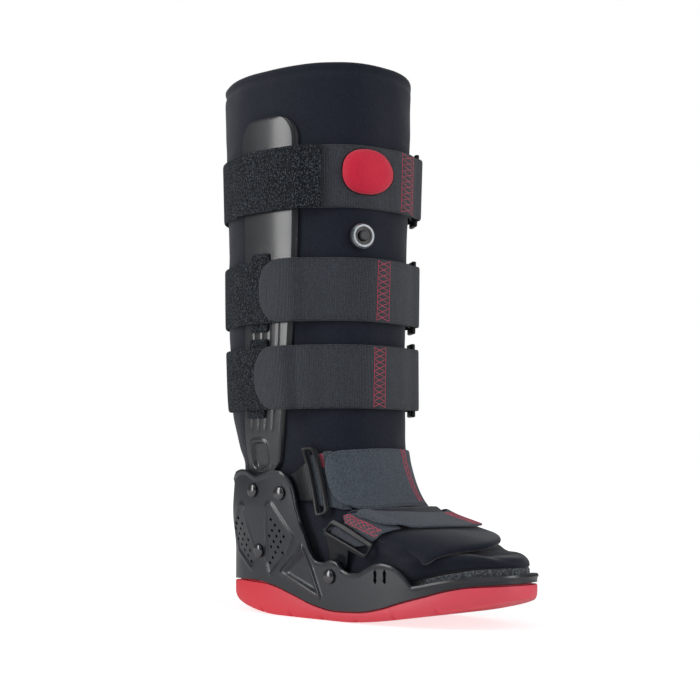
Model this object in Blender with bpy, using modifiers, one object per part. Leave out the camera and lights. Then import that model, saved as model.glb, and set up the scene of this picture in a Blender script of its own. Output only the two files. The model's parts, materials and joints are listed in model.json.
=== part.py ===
"""Tall pneumatic walking boot: rocker sole, plastic shell, side struts, padded liner, straps and pump.

Metres, +Z up. The toe points along -Y and the wearer's right side is -X. The origin is on the flat of the
sole's underside, where the boot stands on the floor.
"""

import math

import bmesh
import bpy
from mathutils import Matrix, Vector

# Whole boot
SOLE_LENGTH = 0.290
SOLE_WIDTH = 0.1070
BOOT_HEIGHT = 0.434
ANKLE_HEIGHT = 0.132
LEG_DEPTH = 0.162
LEG_WIDTH = 0.126
LEG_AXIS = 0.076
ORIGIN_FORWARD = 0.116

# Clearances between pieces
GAP = 0.0003
WRAP_GAP = 0.0007
FIT = 0.0005
CURVED_FIT = 0.0012

# Sole and shell
SHELL_WALL = 0.003
POCKET = 0.0050
FOOTBED_THICKNESS = 0.003
RIM_HEIGHT = 0.002
SHELL_HEIGHT = 0.118
SOLE_THICKNESS = 0.0280
TOE_SPRING = 0.0225
HEEL_RISE = 0.013
TOE_ROUNDING = 13.0
TREAD_DEPTH = 0.0018
TREAD_PITCH = 0.036
TREAD_GROOVE = 0.0016
SOLE_BEVEL = 0.004

# Pads and liner
FELT_THICKNESS = 0.0070
LINER_SOLE_THICKNESS = 0.0055
LINER_WALL = 0.008
FLAP_THICKNESS = 0.005
FLAP_GAP = 0.0014
FLAP_CLEARANCE = 0.0012

# Struts
STRUT_THICKNESS = 0.0034
STRUT_WIDTH = 0.060
STRUT_TOP = 0.395
STRUT_FOOT = 0.042
STRUT_CORNER = 0.020
WINDOW_WIDTH = 0.020
WINDOW_HEIGHT = 0.024
WINDOW_DEPTH = 0.0021
WINDOW_CENTRE = (0.228, 0.1255)
PATCH_THICKNESS = 0.0012
PATCH_WIDTH = 0.021
PATCH_PROUD = 0.0065

# Straps
STRAP_WIDTH = 0.050
STRAP_THICKNESS = 0.0020
BAND_THICKNESS = 0.0028
STRAP_HEIGHTS = {"top": 0.343, "middle": 0.2545, "lower": 0.1865}
RING_WIRE = 0.0036
RING_SLOT = 0.0085
RING_HEADROOM = 0.0046
BAR_FIT = 0.0010
FOLD_LENGTHS = {"top": 0.042, "middle": 0.060, "lower": 0.060}
TIP_ROUNDING = 0.021

# Brackets and rivets
BRACKET_THICKNESS = 0.0026
BRACKET_LIFT = 0.0034
RIVET_HEAD = 0.0056
RIVET_DOME = 0.0026
RIVET_SHANK = 0.0024

# Pump and valve
BULB_WIDTH = 0.040
BULB_HEIGHT = 0.036
BULB_DOME = 0.0085
VALVE_RADIUS = 0.010
VALVE_HEIGHT = 0.0042
BUTTON_RADIUS = 0.0042
BUTTON_STROKE = 0.002
BUTTON_PROUD = 0.0062

PAD_TOP = SOLE_THICKNESS + FELT_THICKNESS + LINER_SOLE_THICKNESS + 3 * GAP
HALF_FOOT = SOLE_WIDTH / 2 - SHELL_WALL - POCKET - 2 * GAP
FOOT_END = SOLE_LENGTH - SHELL_WALL - GAP

# Sections of the liner's outer surface from the pads to the ankle.
# up: share of the way from the pads to the ankle; back, front: shares of the foot's length;
# half_width: share of half the foot; taper: how much wider the toe end is; fullness: squareness.
FOOT_SECTIONS = (
    # up, back, front, half_width, taper, fullness
    (0.000, 0.000, 1.000, 1.000, 0.050, 2.8),
    (0.090, 0.003, 0.985, 1.022, 0.050, 2.8),
    (0.150, 0.006, 0.940, 1.045, 0.050, 2.8),
    (0.205, 0.009, 0.880, 1.060, 0.045, 2.8),
    (0.265, 0.013, 0.800, 1.075, 0.040, 2.8),
    (0.330, 0.018, 0.715, 1.090, 0.030, 2.8),
    (0.400, 0.023, 0.655, 1.100, 0.020, 2.8),
    (0.500, 0.030, 0.604, 1.110, 0.010, 2.8),
    (0.660, 0.040, 0.566, 1.110, 0.000, 2.8),
    (0.840, 0.048, 0.542, 1.110, 0.000, 2.8),
)

# Sections of the leg, from the ankle to the cuff.
# up: share of the leg; back, front: shares of the leg's depth from its axis; half_width: of its width;
# fullness: squareness.
LEG_SECTIONS = (
    # up, back, front, half_width, fullness
    (0.000, -0.392, 0.466, 0.412, 2.8),
    (0.043, -0.416, 0.458, 0.424, 2.8),
    (0.103, -0.442, 0.452, 0.434, 2.8),
    (0.225, -0.462, 0.455, 0.443, 2.7),
    (0.358, -0.474, 0.462, 0.454, 2.6),
    (0.556, -0.484, 0.474, 0.466, 2.5),
    (1.000, -0.502, 0.498, 0.500, 2.5),
)

# Cuff. around: degrees from the toe towards the wearer's right; drop: share of the boot's height.
CUFF_LINE = ((-180, 0.010), (-90, 0.019), (-45, 0.017), (-18, 0.005), (20, 0.0), (100, 0.0), (135, 0.006),
             (180, 0.010))

# Lines of the sole and shell seen from the side. forward: share of the sole's length; the rest is a share
# of the sole's thickness, or of the shell's height for the shell's top edge.
SEAM_LINE = ((0, 0.86), (0.10, 0.93), (0.18, 0.95), (0.26, 0.86), (0.35, 0.64), (0.43, 0.41), (0.51, 0.30),
             (0.60, 0.33), (0.67, 0.46), (0.735, 0.66), (0.80, 0.84), (0.87, 1.04), (0.93, 1.15), (1, 1.20))
FOOTBED_LINE = ((0, 1.10), (0.35, 1.02), (0.62, 0.93), (0.77, 1.00), (0.845, 1.15), (0.92, 1.28), (1, 1.33))
TOP_EDGE = ((0.0, 0.83), (0.05, 0.87), (0.10, 0.94), (0.162, 0.97), (0.224, 0.925), (0.285, 0.965),
            (0.315, 0.960), (0.345, 0.920), (0.362, 0.86), (0.379, 0.735), (0.405, 0.56), (0.424, 0.43),
            (0.445, 0.377), (0.470, 0.371), (0.495, 0.388),
            (0.515, 0.381), (0.540, 0.330), (0.567, 0.313), (0.592, 0.315), (0.620, 0.344), (0.650, 0.377),
            (0.675, 0.386), (0.705, 0.375), (0.730, 0.344), (0.752, 0.297), (0.770, 0.251))
RIM_START = 0.785

# Struts. up: share of the way from the strut's foot to its top; forward: its centre line, as a share of the
# leg's depth ahead of the leg's axis; width: share of the strut's width.
STRUT_LINE = ((0.00, -0.128, 0.20), (0.05, -0.128, 0.30), (0.14, -0.124, 0.34), (0.180, -0.095, 0.52),
              (0.225, -0.050, 0.68), (0.29, -0.032, 0.76), (0.45, 0.005, 0.84), (0.73, 0.037, 0.94),
              (0.90, 0.040, 0.99), (1.00, 0.040, 1.00))

# Vent fields in the shell's sides: corners as (share of the sole's length, share of the shell's height).
VENT_FIELDS = (((0.147, 0.70), (0.098, 0.55), (0.104, 0.43), (0.165, 0.33), (0.180, 0.37), (0.161, 0.53)),
               ((0.280, 0.71), (0.351, 0.52), (0.314, 0.42), (0.257, 0.30), (0.249, 0.35), (0.266, 0.54)))
VENT_PITCH = 0.0086
VENT_RADIUS = 0.0016
WEDGE_CORNERS = ((0.395, 0.465), (0.301, 0.286), (0.455, 0.150))
WEDGE_DEPTH = 0.0019
SLOT_CENTRES = ((0.654, 0.303), (0.685, 0.305))
SLOT_SIZE = (0.0034, 0.0110)

# Rivets: (share of the sole's length, share of the shell's height).
STRUT_RIVETS = {"upper": (0.214, 0.831), "lower": (0.212, 0.424)}
ANKLE_RIVET = (0.321, 0.814)
FOREFOOT_RIVET = (0.493, 0.285)

# Brackets that hold the foot straps. Each corner is (share of the sole's length, up); the slot is given as
# shares (from, to) along the frame and across it; the arm leaves the frame's first side between two shares.
BRACKETS = {
    "ankle": {"near": ((0.440, 0.0770), (0.385, 0.1325)), "far": ((0.482, 0.0805), (0.428, 0.1325)),
              "slot": ((0.10, 0.90), (0.30, 0.66)), "arm": (0.22, 0.80)},
    "forefoot": {"near": ((0.462, 0.0655), (0.612, 0.0485)), "far": ((0.498, 0.0765), (0.645, 0.0585)),
                 "slot": ((0.10, 0.90), (0.32, 0.70)), "arm": (0.08, 0.62)},
}

# Edges of the foot straps and the upper flap. around: degrees from the toe towards the wearer's right.
ANKLE_EDGES = ((0, 0.0850, 0.1310), (20, 0.0838, 0.1302), (43, 0.0830, 0.1292), (58, 0.0834, 0.1285),
               (70, 0.0850, 0.1270))
FOREFOOT_EDGES = ((0, 0.0638, 0.0726), (25, 0.0640, 0.0745), (45, 0.0640, 0.0766), (57, 0.0628, 0.0765),
                  (67, 0.0605, 0.0735), (78, 0.0560, 0.0698))
FLAP_EDGES = ((-44, 0.0600, 0.0800), (-30, 0.0600, 0.0810), (-7, 0.0580, 0.0810), (20, 0.0545, 0.0810),
              (35, 0.0530, 0.0810), (50, 0.0500, 0.0810), (55, 0.0470, 0.0800), (59.5, 0.0450, 0.0790))
FOOT_STRAP_TIPS = {"ankle": 57.5, "forefoot": 54.5}
TAB_ENDS = {"ankle": 48.0, "forefoot": 46.0}
BULB_PLACE = (17.2, 0.347)
VALVE_PLACE = (19.6, 0.2965)

# Leg straps, in degrees from the toe towards the wearer's right
RING_AROUND = -47.0
BAND_START = {"top": 50.0, "middle": 62.0, "lower": 62.0}
HOOK_START = {"top": 58.0, "middle": 88.0, "lower": 90.5}

COLOURS = {
    "red_rubber": ((0.75, 0.06, 0.08), 0.55, 0.0),
    "shell_plastic": ((0.040, 0.041, 0.045), 0.38, 0.0),
    "strut_plastic": ((0.055, 0.054, 0.053), 0.32, 0.0),
    "liner_foam": ((0.022, 0.025, 0.036), 0.85, 0.0),
    "felt": ((0.10, 0.11, 0.12), 0.95, 0.0),
    "loop_pile": ((0.030, 0.038, 0.048), 0.95, 0.0),
    "webbing": ((0.055, 0.060, 0.068), 0.80, 0.0),
    "ring_plastic": ((0.012, 0.012, 0.013), 0.35, 0.0),
    "rivet_steel": ((0.16, 0.16, 0.17), 0.22, 0.9),
    "bulb_red": ((0.80, 0.02, 0.07), 0.60, 0.0),
    "valve_metal": ((0.62, 0.65, 0.68), 0.25, 0.8),
    "button_grey": ((0.20, 0.22, 0.24), 0.40, 0.0),
}


# Start from an empty scene
for leftover in list(bpy.data.objects):
    bpy.data.objects.remove(leftover)
boot = bpy.data.collections.new("walking_boot")
bpy.context.scene.collection.children.link(boot)
cutters = bpy.data.collections.new("cutters")
bpy.context.scene.collection.children.link(cutters)


# Curves through table rows

def between(rows, column, x):
    """Value of a table's column at x, on a smooth curve through the rows that never overshoots them."""
    xs = [row[0] for row in rows]
    ys = [row[column] for row in rows]
    if x <= xs[0]:
        return ys[0]
    if x >= xs[-1]:
        return ys[-1]
    slopes = [(ys[i + 1] - ys[i]) / (xs[i + 1] - xs[i]) for i in range(len(xs) - 1)]
    tangents = [slopes[0]]
    for before, after in zip(slopes, slopes[1:]):
        tangents.append(0.0 if before * after <= 0 else 2 * before * after / (before + after))
    tangents.append(slopes[-1])
    i = max(k for k in range(len(xs) - 1) if xs[k] <= x)
    step = xs[i + 1] - xs[i]
    t = (x - xs[i]) / step
    return ((2 * t ** 3 - 3 * t ** 2 + 1) * ys[i] + (t ** 3 - 2 * t ** 2 + t) * step * tangents[i]
            + (3 * t ** 2 - 2 * t ** 3) * ys[i + 1] + (t ** 3 - t ** 2) * step * tangents[i + 1])


def smooth_step(low, high, x):
    t = min(1.0, max(0.0, (x - low) / (high - low)))
    return t * t * (3 - 2 * t)


def span(first, last, count):
    return [first + (last - first) * i / (count - 1) for i in range(count)]


# The liner's outer surface, which everything else is built on

def section_rows():
    """Every section as (up, back, front, half_width, taper, fullness), in metres."""
    rows = []
    for up, back, front, half_width, taper, fullness in FOOT_SECTIONS:
        rows.append((PAD_TOP + up * (ANKLE_HEIGHT - PAD_TOP), SHELL_WALL + GAP + back * SOLE_LENGTH,
                     front * FOOT_END, half_width * HALF_FOOT, taper, fullness))
    for up, back, front, half_width, fullness in LEG_SECTIONS:
        rows.append((ANKLE_HEIGHT + up * (BOOT_HEIGHT - ANKLE_HEIGHT), LEG_AXIS + back * LEG_DEPTH,
                     LEG_AXIS + front * LEG_DEPTH, half_width * LEG_WIDTH, 0.0, fullness))
    return rows


SECTIONS = section_rows()
FOUND = {}


def section(up):
    if up not in FOUND:
        FOUND[up] = [between(SECTIONS, column, up) for column in range(1, 6)]
    return FOUND[up]


def power(value, exponent):
    return math.copysign(abs(value) ** exponent, value)


def skin(around, up):
    """Point of the surface at an angle round it, in degrees from the toe towards the wearer's right."""
    back, front, half_width, taper, fullness = section(up)
    middle, reach = (front + back) / 2, (front - back) / 2
    fullness -= TOE_ROUNDING * taper * max(0.0, math.cos(math.radians(around)))
    ahead = power(math.cos(math.radians(around)), 2 / fullness)
    aside = power(math.sin(math.radians(around)), 2 / fullness)
    return Vector((-half_width * (1 + taper * ahead) * aside, ORIGIN_FORWARD - middle - reach * ahead, up))


def outward(around, up):
    """Unit normal of the surface."""
    turn, climb = 0.4, 0.0008
    along = skin(around + turn, up) - skin(around - turn, up)
    rise = skin(around, up + climb) - skin(around, up - climb)
    return rise.cross(along).normalized()


def over(around, up, height):
    """Point at a height above the surface."""
    return skin(around, up) + outward(around, up) * height


def around_at(forward, up, side=1):
    """Angle round the surface at a distance forward of the heel, on the wearer's right for side 1."""
    low, high = 0.0, 180.0
    for _ in range(26):
        middle = (low + high) / 2
        if forward_of(skin(middle, up)) > forward:
            low = middle
        else:
            high = middle
    return side * (low + high) / 2


def forward_of(point):
    return ORIGIN_FORWARD - point.y


# Making objects

def material(name):
    found = bpy.data.materials.get(name)
    if found:
        return found
    colour, roughness, metallic = COLOURS[name]
    made = bpy.data.materials.new(name)
    made.use_nodes = True
    shader = made.node_tree.nodes["Principled BSDF"]
    shader.inputs["Base Color"].default_value = (*colour, 1)
    shader.inputs["Roughness"].default_value = roughness
    shader.inputs["Metallic"].default_value = metallic
    return made


def object_from(name, mesh, finish=None, group=None):
    made = bpy.data.objects.new(name, mesh)
    (group or boot).objects.link(made)
    if finish:
        mesh.materials.append(material(finish))
        mesh.shade_smooth()
        mesh.set_sharp_from_angle(angle=math.radians(35))
    return made


def mesh_from(name, bm):
    mesh = bpy.data.meshes.new(name)
    bm.to_mesh(mesh)
    bm.free()
    return mesh


def sheet(name, finish, columns, rows, place, thickness=0.0, grow=-1, closed=False, group=None):
    """A grid whose point (i, j) is place(i, j), made solid to one side of it."""
    bm = bmesh.new()
    bmesh.ops.create_grid(bm, x_segments=columns - 1, y_segments=rows - 1, size=1)
    for vert in bm.verts:
        i = round((vert.co.x + 1) / 2 * (columns - 1))
        j = round((vert.co.y + 1) / 2 * (rows - 1))
        vert.co = place(i, j)
    if closed:
        bmesh.ops.remove_doubles(bm, verts=bm.verts, dist=1e-6)
    made = object_from(name, mesh_from(name, bm), finish, group)
    if thickness:
        solid = made.modifiers.new("wall", "SOLIDIFY")
        solid.thickness = thickness
        solid.offset = grow
        solid.use_even_offset = True
    return made


def loft(name, finish, rings, group=None):
    """A solid through rings of equal point counts, capped at both ends."""
    bm = bmesh.new()
    loops = [[bm.verts.new(point) for point in ring] for ring in rings]
    for first, second in zip(loops, loops[1:]):
        for k in range(len(first)):
            after = (k + 1) % len(first)
            bm.faces.new((first[k], first[after], second[after], second[k]))
    bm.faces.new(loops[0][::-1])
    bm.faces.new(loops[-1])
    bmesh.ops.recalc_face_normals(bm, faces=bm.faces)
    return object_from(name, mesh_from(name, bm), finish, group)


def turned(name, finish, profile, steps, place, group=None):
    """A profile of (radius, height), from its top down its outer side, turned about its own Z."""
    bm = bmesh.new()
    verts = [bm.verts.new((radius, 0, height)) for radius, height in profile]
    for first, second in zip(verts, verts[1:]):
        bm.edges.new((first, second))
    made = object_from(name, mesh_from(name, bm), None, group)
    made.matrix_world = place
    spin = made.modifiers.new("turn", "SCREW")
    spin.steps = spin.render_steps = steps
    spin.use_merge_vertices = True
    spin.merge_threshold = 0.00001
    spin.use_smooth_shade = True
    if finish:
        made.data.materials.append(material(finish))
    return made


def cut(target, cutter, operation="DIFFERENCE"):
    change = target.modifiers.new(cutter.name, "BOOLEAN")
    change.operation = operation
    change.solver = "EXACT"
    change.object = cutter
    cutter.hide_render = True
    cutter.display_type = "WIRE"


def facing(point, normal, up=Vector((0, 0, 1))):
    """Matrix at point whose Z is normal and whose Y leans towards up."""
    z = normal.normalized()
    x = up.cross(z).normalized()
    return Matrix.Translation(point) @ Matrix((x, z.cross(x), z)).transposed().to_4x4()


# Outline of the sole and shell in plan

def beside(around, up, height):
    """Point at a level distance out from the surface, at exactly the height up."""
    along = skin(around + 0.4, up) - skin(around - 0.4, up)
    out = Vector((0, 0, 1)).cross(along).normalized()
    return skin(around, up) + out * height


def shell_height(around):
    """Distance from the liner to the shell's inner face: the pocket closes at the heel and toe."""
    return GAP + POCKET * smooth_step(0.05, 0.75, abs(math.sin(math.radians(around))))


def outline(around, inset=0.0):
    """Point of the sole's outline, inset from the shell's outer face."""
    point = beside(around, PAD_TOP, shell_height(around) + SHELL_WALL - inset)
    point.z = 0
    return point


def plan_table(inset):
    """Outline as rows of (forward, half width), from heel to toe. The inset None is the pads' own outline."""
    angles = [180 - 0.5 * k for k in range(361)]
    if inset is None:
        points = [beside(angle, PAD_TOP, -FIT) for angle in angles]
    else:
        points = [outline(angle, inset) for angle in angles]
    return [(forward_of(point), abs(point.x)) for point in points]


PLANS = {}


def half_width(forward, inset=0.0):
    """Half the width of the outline at a distance forward of the heel."""
    if inset not in PLANS:
        PLANS[inset] = plan_table(inset)
    rows = PLANS[inset]
    if forward <= rows[0][0] or forward >= rows[-1][0]:
        return 0.0
    k = next(k for k in range(1, len(rows)) if rows[k][0] >= forward)
    (f0, h0), (f1, h1) = rows[k - 1], rows[k]
    return h0 + (h1 - h0) * (forward - f0) / (f1 - f0)


def share_forward(point):
    return min(1.0, max(0.0, forward_of(point) / SOLE_LENGTH))


def seam_up(share):
    return between(SEAM_LINE, 1, share) * SOLE_THICKNESS


def footbed_up(share):
    return between(FOOTBED_LINE, 1, share) * SOLE_THICKNESS


def sole_bottom(share):
    heel = HEEL_RISE * max(0.0, (0.27 - share) / 0.27) ** 1.7
    toe = TOE_SPRING * max(0.0, (share - 0.53) / 0.47) ** 1.6
    return heel + toe


def stations(inset, count, extra=(), clear=0.0):
    """Distances forward, close together at the heel and toe, with the extra ones kept clear of others."""
    first, last = inset + 0.0004, SOLE_LENGTH - inset - 0.0004
    found = [first + (last - first) * (1 - math.cos(math.pi * k / (count - 1))) / 2 for k in range(count)]
    found = [x for x in found if all(abs(x - other) > clear for other in extra)]
    return sorted(found + list(extra))


def build_outsole():
    """Red rubber rocker sole: tread, side walls up to the seam, and the core that fills the shell's skirt."""
    inner = SHELL_WALL + CURVED_FIT
    grooves = [ORIGIN_FORWARD + (k + 0.5) * TREAD_PITCH for k in range(-3, 4)]
    extra = [groove + step * TREAD_GROOVE for groove in grooves for step in (-1, 0, 1)]
    extra += [inner + 0.0001, inner + 0.0009, SOLE_LENGTH - inner - 0.0009, SOLE_LENGTH - inner - 0.0001]
    sections = []
    for forward in stations(0, 15, extra, 0.0045):
        share = forward / SOLE_LENGTH
        side, core = half_width(forward), half_width(forward, inner)
        bottom = sole_bottom(share)
        if any(abs(forward - groove) < 0.0001 for groove in grooves):
            bottom += TREAD_DEPTH
        top = footbed_up(share) - FOOTBED_THICKNESS - CURVED_FIT
        seam = min(seam_up(share) - CURVED_FIT, top - CURVED_FIT)
        if core < 0.006:
            core, top = min(core, side * 0.5), seam
        bevel = min(SOLE_BEVEL, side * 0.4, (seam - bottom) * 0.5)
        half = [(side - bevel, bottom), (side - bevel * 0.2, bottom + bevel * 0.55),
                (side, bottom + bevel * 1.5),
                (side, seam), (core, seam), (core, top)]
        y = ORIGIN_FORWARD - forward
        sections.append([Vector((x, y, z)) for x, z in half]
                        + [Vector((-x, y, z)) for x, z in reversed(half)])
    return loft("outsole", "red_rubber", sections)


build_outsole()


# Shell

def edge_up(share):
    """Height of the shell's top edge, and of the rim that runs on round the toe."""
    if share > RIM_START:
        return footbed_up(share) + RIM_HEIGHT
    wave = between(TOP_EDGE, 1, share) * SHELL_HEIGHT
    return wave + (footbed_up(share) + RIM_HEIGHT - wave) * smooth_step(0.75, RIM_START, share)


def wall(around, up, height):
    """Point of the shell's wall above a place of its outline: upright at the sides, leaning in at the heel."""
    forward = forward_of(outline(around))
    share = forward / SOLE_LENGTH
    upright = smooth_step(0.06, 0.16, share) * smooth_step(PAD_TOP - 0.005, PAD_TOP + 0.010, up)
    side = 1 if math.sin(math.radians(around)) >= 0 else -1
    turned_to = around_at(forward, up, side) if upright else around
    here = around + (turned_to - around) * upright
    return beside(here, up, shell_height(here) + height)


def around_on_outline(forward):
    """Angle round the outline at a distance forward of the heel, on the wearer's right."""
    low, high = 0.0, 180.0
    for _ in range(40):
        middle = (low + high) / 2
        if forward_of(outline(middle)) > forward:
            low = middle
        else:
            high = middle
    return (low + high) / 2


def on_shell(share, up, height=0.0):
    """Point above the shell's outer face on the wearer's right, and the way out of it."""
    around = around_on_outline(share * SOLE_LENGTH)
    point = wall(around, up, SHELL_WALL + height)
    ahead = wall(around - 0.5, up, SHELL_WALL) - wall(around + 0.5, up, SHELL_WALL)
    above = wall(around, up + 0.001, SHELL_WALL) - wall(around, up - 0.001, SHELL_WALL)
    out = ahead.cross(above).normalized()
    return point, out if out.x < 0 else -out


def mirror_x(points):
    return [Vector((-p.x, p.y, p.z)) for p in points]


def prism(bm, lower, upper):
    """Closed prism between two loops of points."""
    loops = [[bm.verts.new(point) for point in loop] for loop in (lower, upper)]
    count = len(lower)
    for k in range(count):
        after = (k + 1) % count
        bm.faces.new((loops[0][k], loops[0][after], loops[1][after], loops[1][k]))
    bm.faces.new(loops[0][::-1])
    bm.faces.new(loops[1])


def punches(name, shapes):
    """One cutter of prisms through the shell's wall on both sides. shapes: loops of (share, up) and depth."""
    bm = bmesh.new()
    for loop, depth in shapes:
        placed = [on_shell(share, up) for share, up in loop]
        lower = [point - out * depth for point, out in placed]
        upper = [point + out * 0.004 for point, out in placed]
        prism(bm, lower, upper)
        prism(bm, mirror_x(lower), mirror_x(upper))
    bmesh.ops.recalc_face_normals(bm, faces=bm.faces)
    return object_from(name, mesh_from(name, bm), None, cutters)


def inside(corners, x, y):
    """Whether a point is inside a polygon."""
    found = False
    for (x0, y0), (x1, y1) in zip(corners, corners[1:] + corners[:1]):
        if (y0 > y) != (y1 > y) and x < x0 + (y - y0) * (x1 - x0) / (y1 - y0):
            found = not found
    return found


def vent_shapes():
    shapes = []
    reach = VENT_RADIUS / SOLE_LENGTH
    for field in VENT_FIELDS:
        corners = [(share, up * SHELL_HEIGHT) for share, up in field]
        for row in range(24):
            up = 0.0236 + row * VENT_PITCH * 0.5
            for column in range(24):
                share = 0.0460 + (column + 0.5 * (row % 2)) * VENT_PITCH / SOLE_LENGTH
                if inside(corners, share, up):
                    shapes.append(([(share - reach, up), (share, up - VENT_RADIUS),
                                    (share + reach, up), (share, up + VENT_RADIUS)], 0.007))
    return shapes


def slot_shapes():
    """Two upright slots, waisted at half their height."""
    shapes = []
    for share, up in SLOT_CENTRES:
        half, tall, centre = SLOT_SIZE[0] / 2 / SOLE_LENGTH, SLOT_SIZE[1] / 2, up * SHELL_HEIGHT
        shapes.append(([(share - half, centre - tall * 0.6), (share, centre - tall),
                        (share + half, centre - tall * 0.6), (share + half * 0.75, centre),
                        (share + half, centre + tall * 0.6), (share, centre + tall),
                        (share - half, centre + tall * 0.6), (share - half * 0.75, centre)], 0.007))
    return shapes


def wedge_shapes():
    corners = [(share, up * SHELL_HEIGHT) for share, up in WEDGE_CORNERS]
    loop = []
    for (s0, u0), (s1, u1) in zip(corners, corners[1:] + corners[:1]):
        loop += [(s0, u0), ((s0 * 2 + s1) / 3, (u0 * 2 + u1) / 3), ((s0 + s1 * 2) / 3, (u0 + u1 * 2) / 3)]
    return [(loop, WEDGE_DEPTH)]


def rivet_holes(name, places):
    """Cutter of straight round holes for rivets, on both sides."""
    bm = bmesh.new()
    reach = RIVET_SHANK + 1.3 * FIT
    for share, up in places:
        point, out = on_shell(share, up * SHELL_HEIGHT)
        frame = facing(point, out)
        loops = [[frame @ Vector((reach * math.cos(turn), reach * math.sin(turn), height))
                  for turn in [math.pi * k / 4 for k in range(8)]] for height in (-0.0105, 0.004)]
        prism(bm, *loops)
        prism(bm, *[mirror_x(loop) for loop in loops])
    bmesh.ops.recalc_face_normals(bm, faces=bm.faces)
    return object_from(name, mesh_from(name, bm), None, cutters)


def build_shell():
    """Plastic shell: heel and side walls with the wavy top edge, the rim round the toe, and the footbed."""
    shares = sorted({row[0] for row in TOP_EDGE if row[0] > 0.28} | {RIM_START})
    sides = [around_on_outline(share * SOLE_LENGTH) for share in shares]
    toe = [6, 17, 28, 38, 47, 55, 63]
    heel = [94, 98, 103, 110, 118, 127, 137, 148, 160, 173]
    right = toe + [angle for angle in sorted(sides) if 69 < angle < 93] + heel
    angles = [-angle for angle in reversed(right)] + right
    levels = (0, 0.24, 0.48, 0.74, 1)

    def place(i, j):
        angle = angles[i % len(angles)]
        share = share_forward(outline(abs(angle)))
        low, high = seam_up(share), edge_up(share)
        return wall(angle, low + (high - low) * levels[j], 0)

    shell = sheet("shell", "shell_plastic", len(angles) + 1, len(levels), place, SHELL_WALL, -1, closed=True)
    lap = SHELL_WALL - 0.0012
    rings = []
    for forward in stations(lap, 22):
        half, top = half_width(forward, lap), footbed_up(forward / SOLE_LENGTH)
        y = ORIGIN_FORWARD - forward
        rings.append([Vector((half, y, top - FOOTBED_THICKNESS)), Vector((half, y, top)),
                      Vector((-half, y, top)), Vector((-half, y, top - FOOTBED_THICKNESS))])
    cut(shell, loft("footbed", None, rings, cutters), "UNION")
    cut(shell, punches("wedges", wedge_shapes()))
    cut(shell, punches("vents", vent_shapes() + slot_shapes()))
    cut(shell, rivet_holes("shell_holes", [*STRUT_RIVETS.values(), ANKLE_RIVET, FOREFOOT_RIVET]))
    return shell


build_shell()


# Felt pad, liner and its upper flap

def pad_top(share):
    return footbed_up(share) + GAP + FELT_THICKNESS


def build_felt():
    """Felt layer lying on the footbed."""
    rings = []
    for forward in stations(SHELL_WALL + GAP + FIT, 16):
        share = forward / SOLE_LENGTH
        y, half = ORIGIN_FORWARD - forward, half_width(forward, None)
        low, top = footbed_up(share) + CURVED_FIT, pad_top(share)
        rings.append([Vector((half, y, low)), Vector((half, y, top)),
                      Vector((-half, y, top)), Vector((-half, y, low))])
    loft("felt_pad", "felt", rings)


def build_liner():
    """Padded sleeve, open at the cuff and at the toes, closed underneath."""
    angles = [6, 18, 30, 42, 54, 66, 78, 90, 103, 117, 131, 146, 165]
    angles = [-angle for angle in reversed(angles)] + angles
    opening = (FELT_THICKNESS + SOLE_THICKNESS * 1.33 + LINER_SOLE_THICKNESS + GAP, 0.0570)
    levels = [PAD_TOP, *opening, 0.0610, 0.066, 0.072, 0.079, 0.0845, 0.090, 0.099, 0.110, 0.122, 0.134, 0.147,
              0.160, 0.200, 0.260, 0.340, 1]

    def place(i, j):
        angle = angles[i % len(angles)]
        crest = BOOT_HEIGHT * (1 - between(CUFF_LINE, 1, angle))
        point = skin(angle, min(levels[j], crest))
        if j == 0:
            point.z = pad_top(share_forward(outline(abs(angle)))) + CURVED_FIT
        return point

    count = len(angles)
    liner = sheet("liner", "liner_foam", count + 1, len(levels), place, LINER_WALL, 1, closed=True)
    bm = bmesh.new()
    bm.from_mesh(liner.data)
    bm.verts.ensure_lookup_table()
    toes = [face for face in bm.faces
            if opening[0] - 0.001 < face.calc_center_median().z < opening[1]
            and face.calc_center_median().y < ORIGIN_FORWARD - 0.86 * SOLE_LENGTH]
    bmesh.ops.delete(bm, geom=toes, context="FACES")
    seam = [edge for edge in bm.edges if edge.is_boundary
            and max(v.co.z for v in edge.verts) < opening[0] - 0.0002]
    ladder = sorted({v for edge in seam for v in edge.verts}, key=lambda v: (round(v.co.y, 5), v.co.x))
    pairs = [(ladder[k], ladder[k + 1]) for k in range(0, len(ladder), 2)]
    for (a, b), (c, d) in zip(pairs, pairs[1:]):
        bm.faces.new((a, b, d, c))
    bmesh.ops.recalc_face_normals(bm, faces=bm.faces)
    bm.to_mesh(liner.data)
    bm.free()
    liner.modifiers["wall"].offset = -1
    return liner


build_felt()
build_liner()


def build_flap():
    """Outer flap of the liner over the instep."""
    angles = span(FLAP_EDGES[0][0], FLAP_EDGES[-1][0], 13)

    def place(i, j):
        low, high = between(FLAP_EDGES, 1, angles[i]), between(FLAP_EDGES, 2, angles[i])
        return over(angles[i], low + (high - low) * j / 5, FLAP_GAP)

    sheet("upper_flap", "liner_foam", len(angles), 6, place, FLAP_THICKNESS, -1)


build_flap()


# Struts

def strut_span(up):
    """Rear and front edges of a strut at a height, forward of the heel."""
    share = (up - STRUT_FOOT) / (STRUT_TOP - STRUT_FOOT)
    centre = LEG_AXIS + between(STRUT_LINE, 1, share) * LEG_DEPTH
    width = between(STRUT_LINE, 2, share) * STRUT_WIDTH
    drop = STRUT_TOP - up
    if drop < STRUT_CORNER:
        width -= 2 * (STRUT_CORNER - math.sqrt(max(0.0, STRUT_CORNER ** 2 - (STRUT_CORNER - drop) ** 2)))
    return centre - width / 2, centre + width / 2


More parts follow.
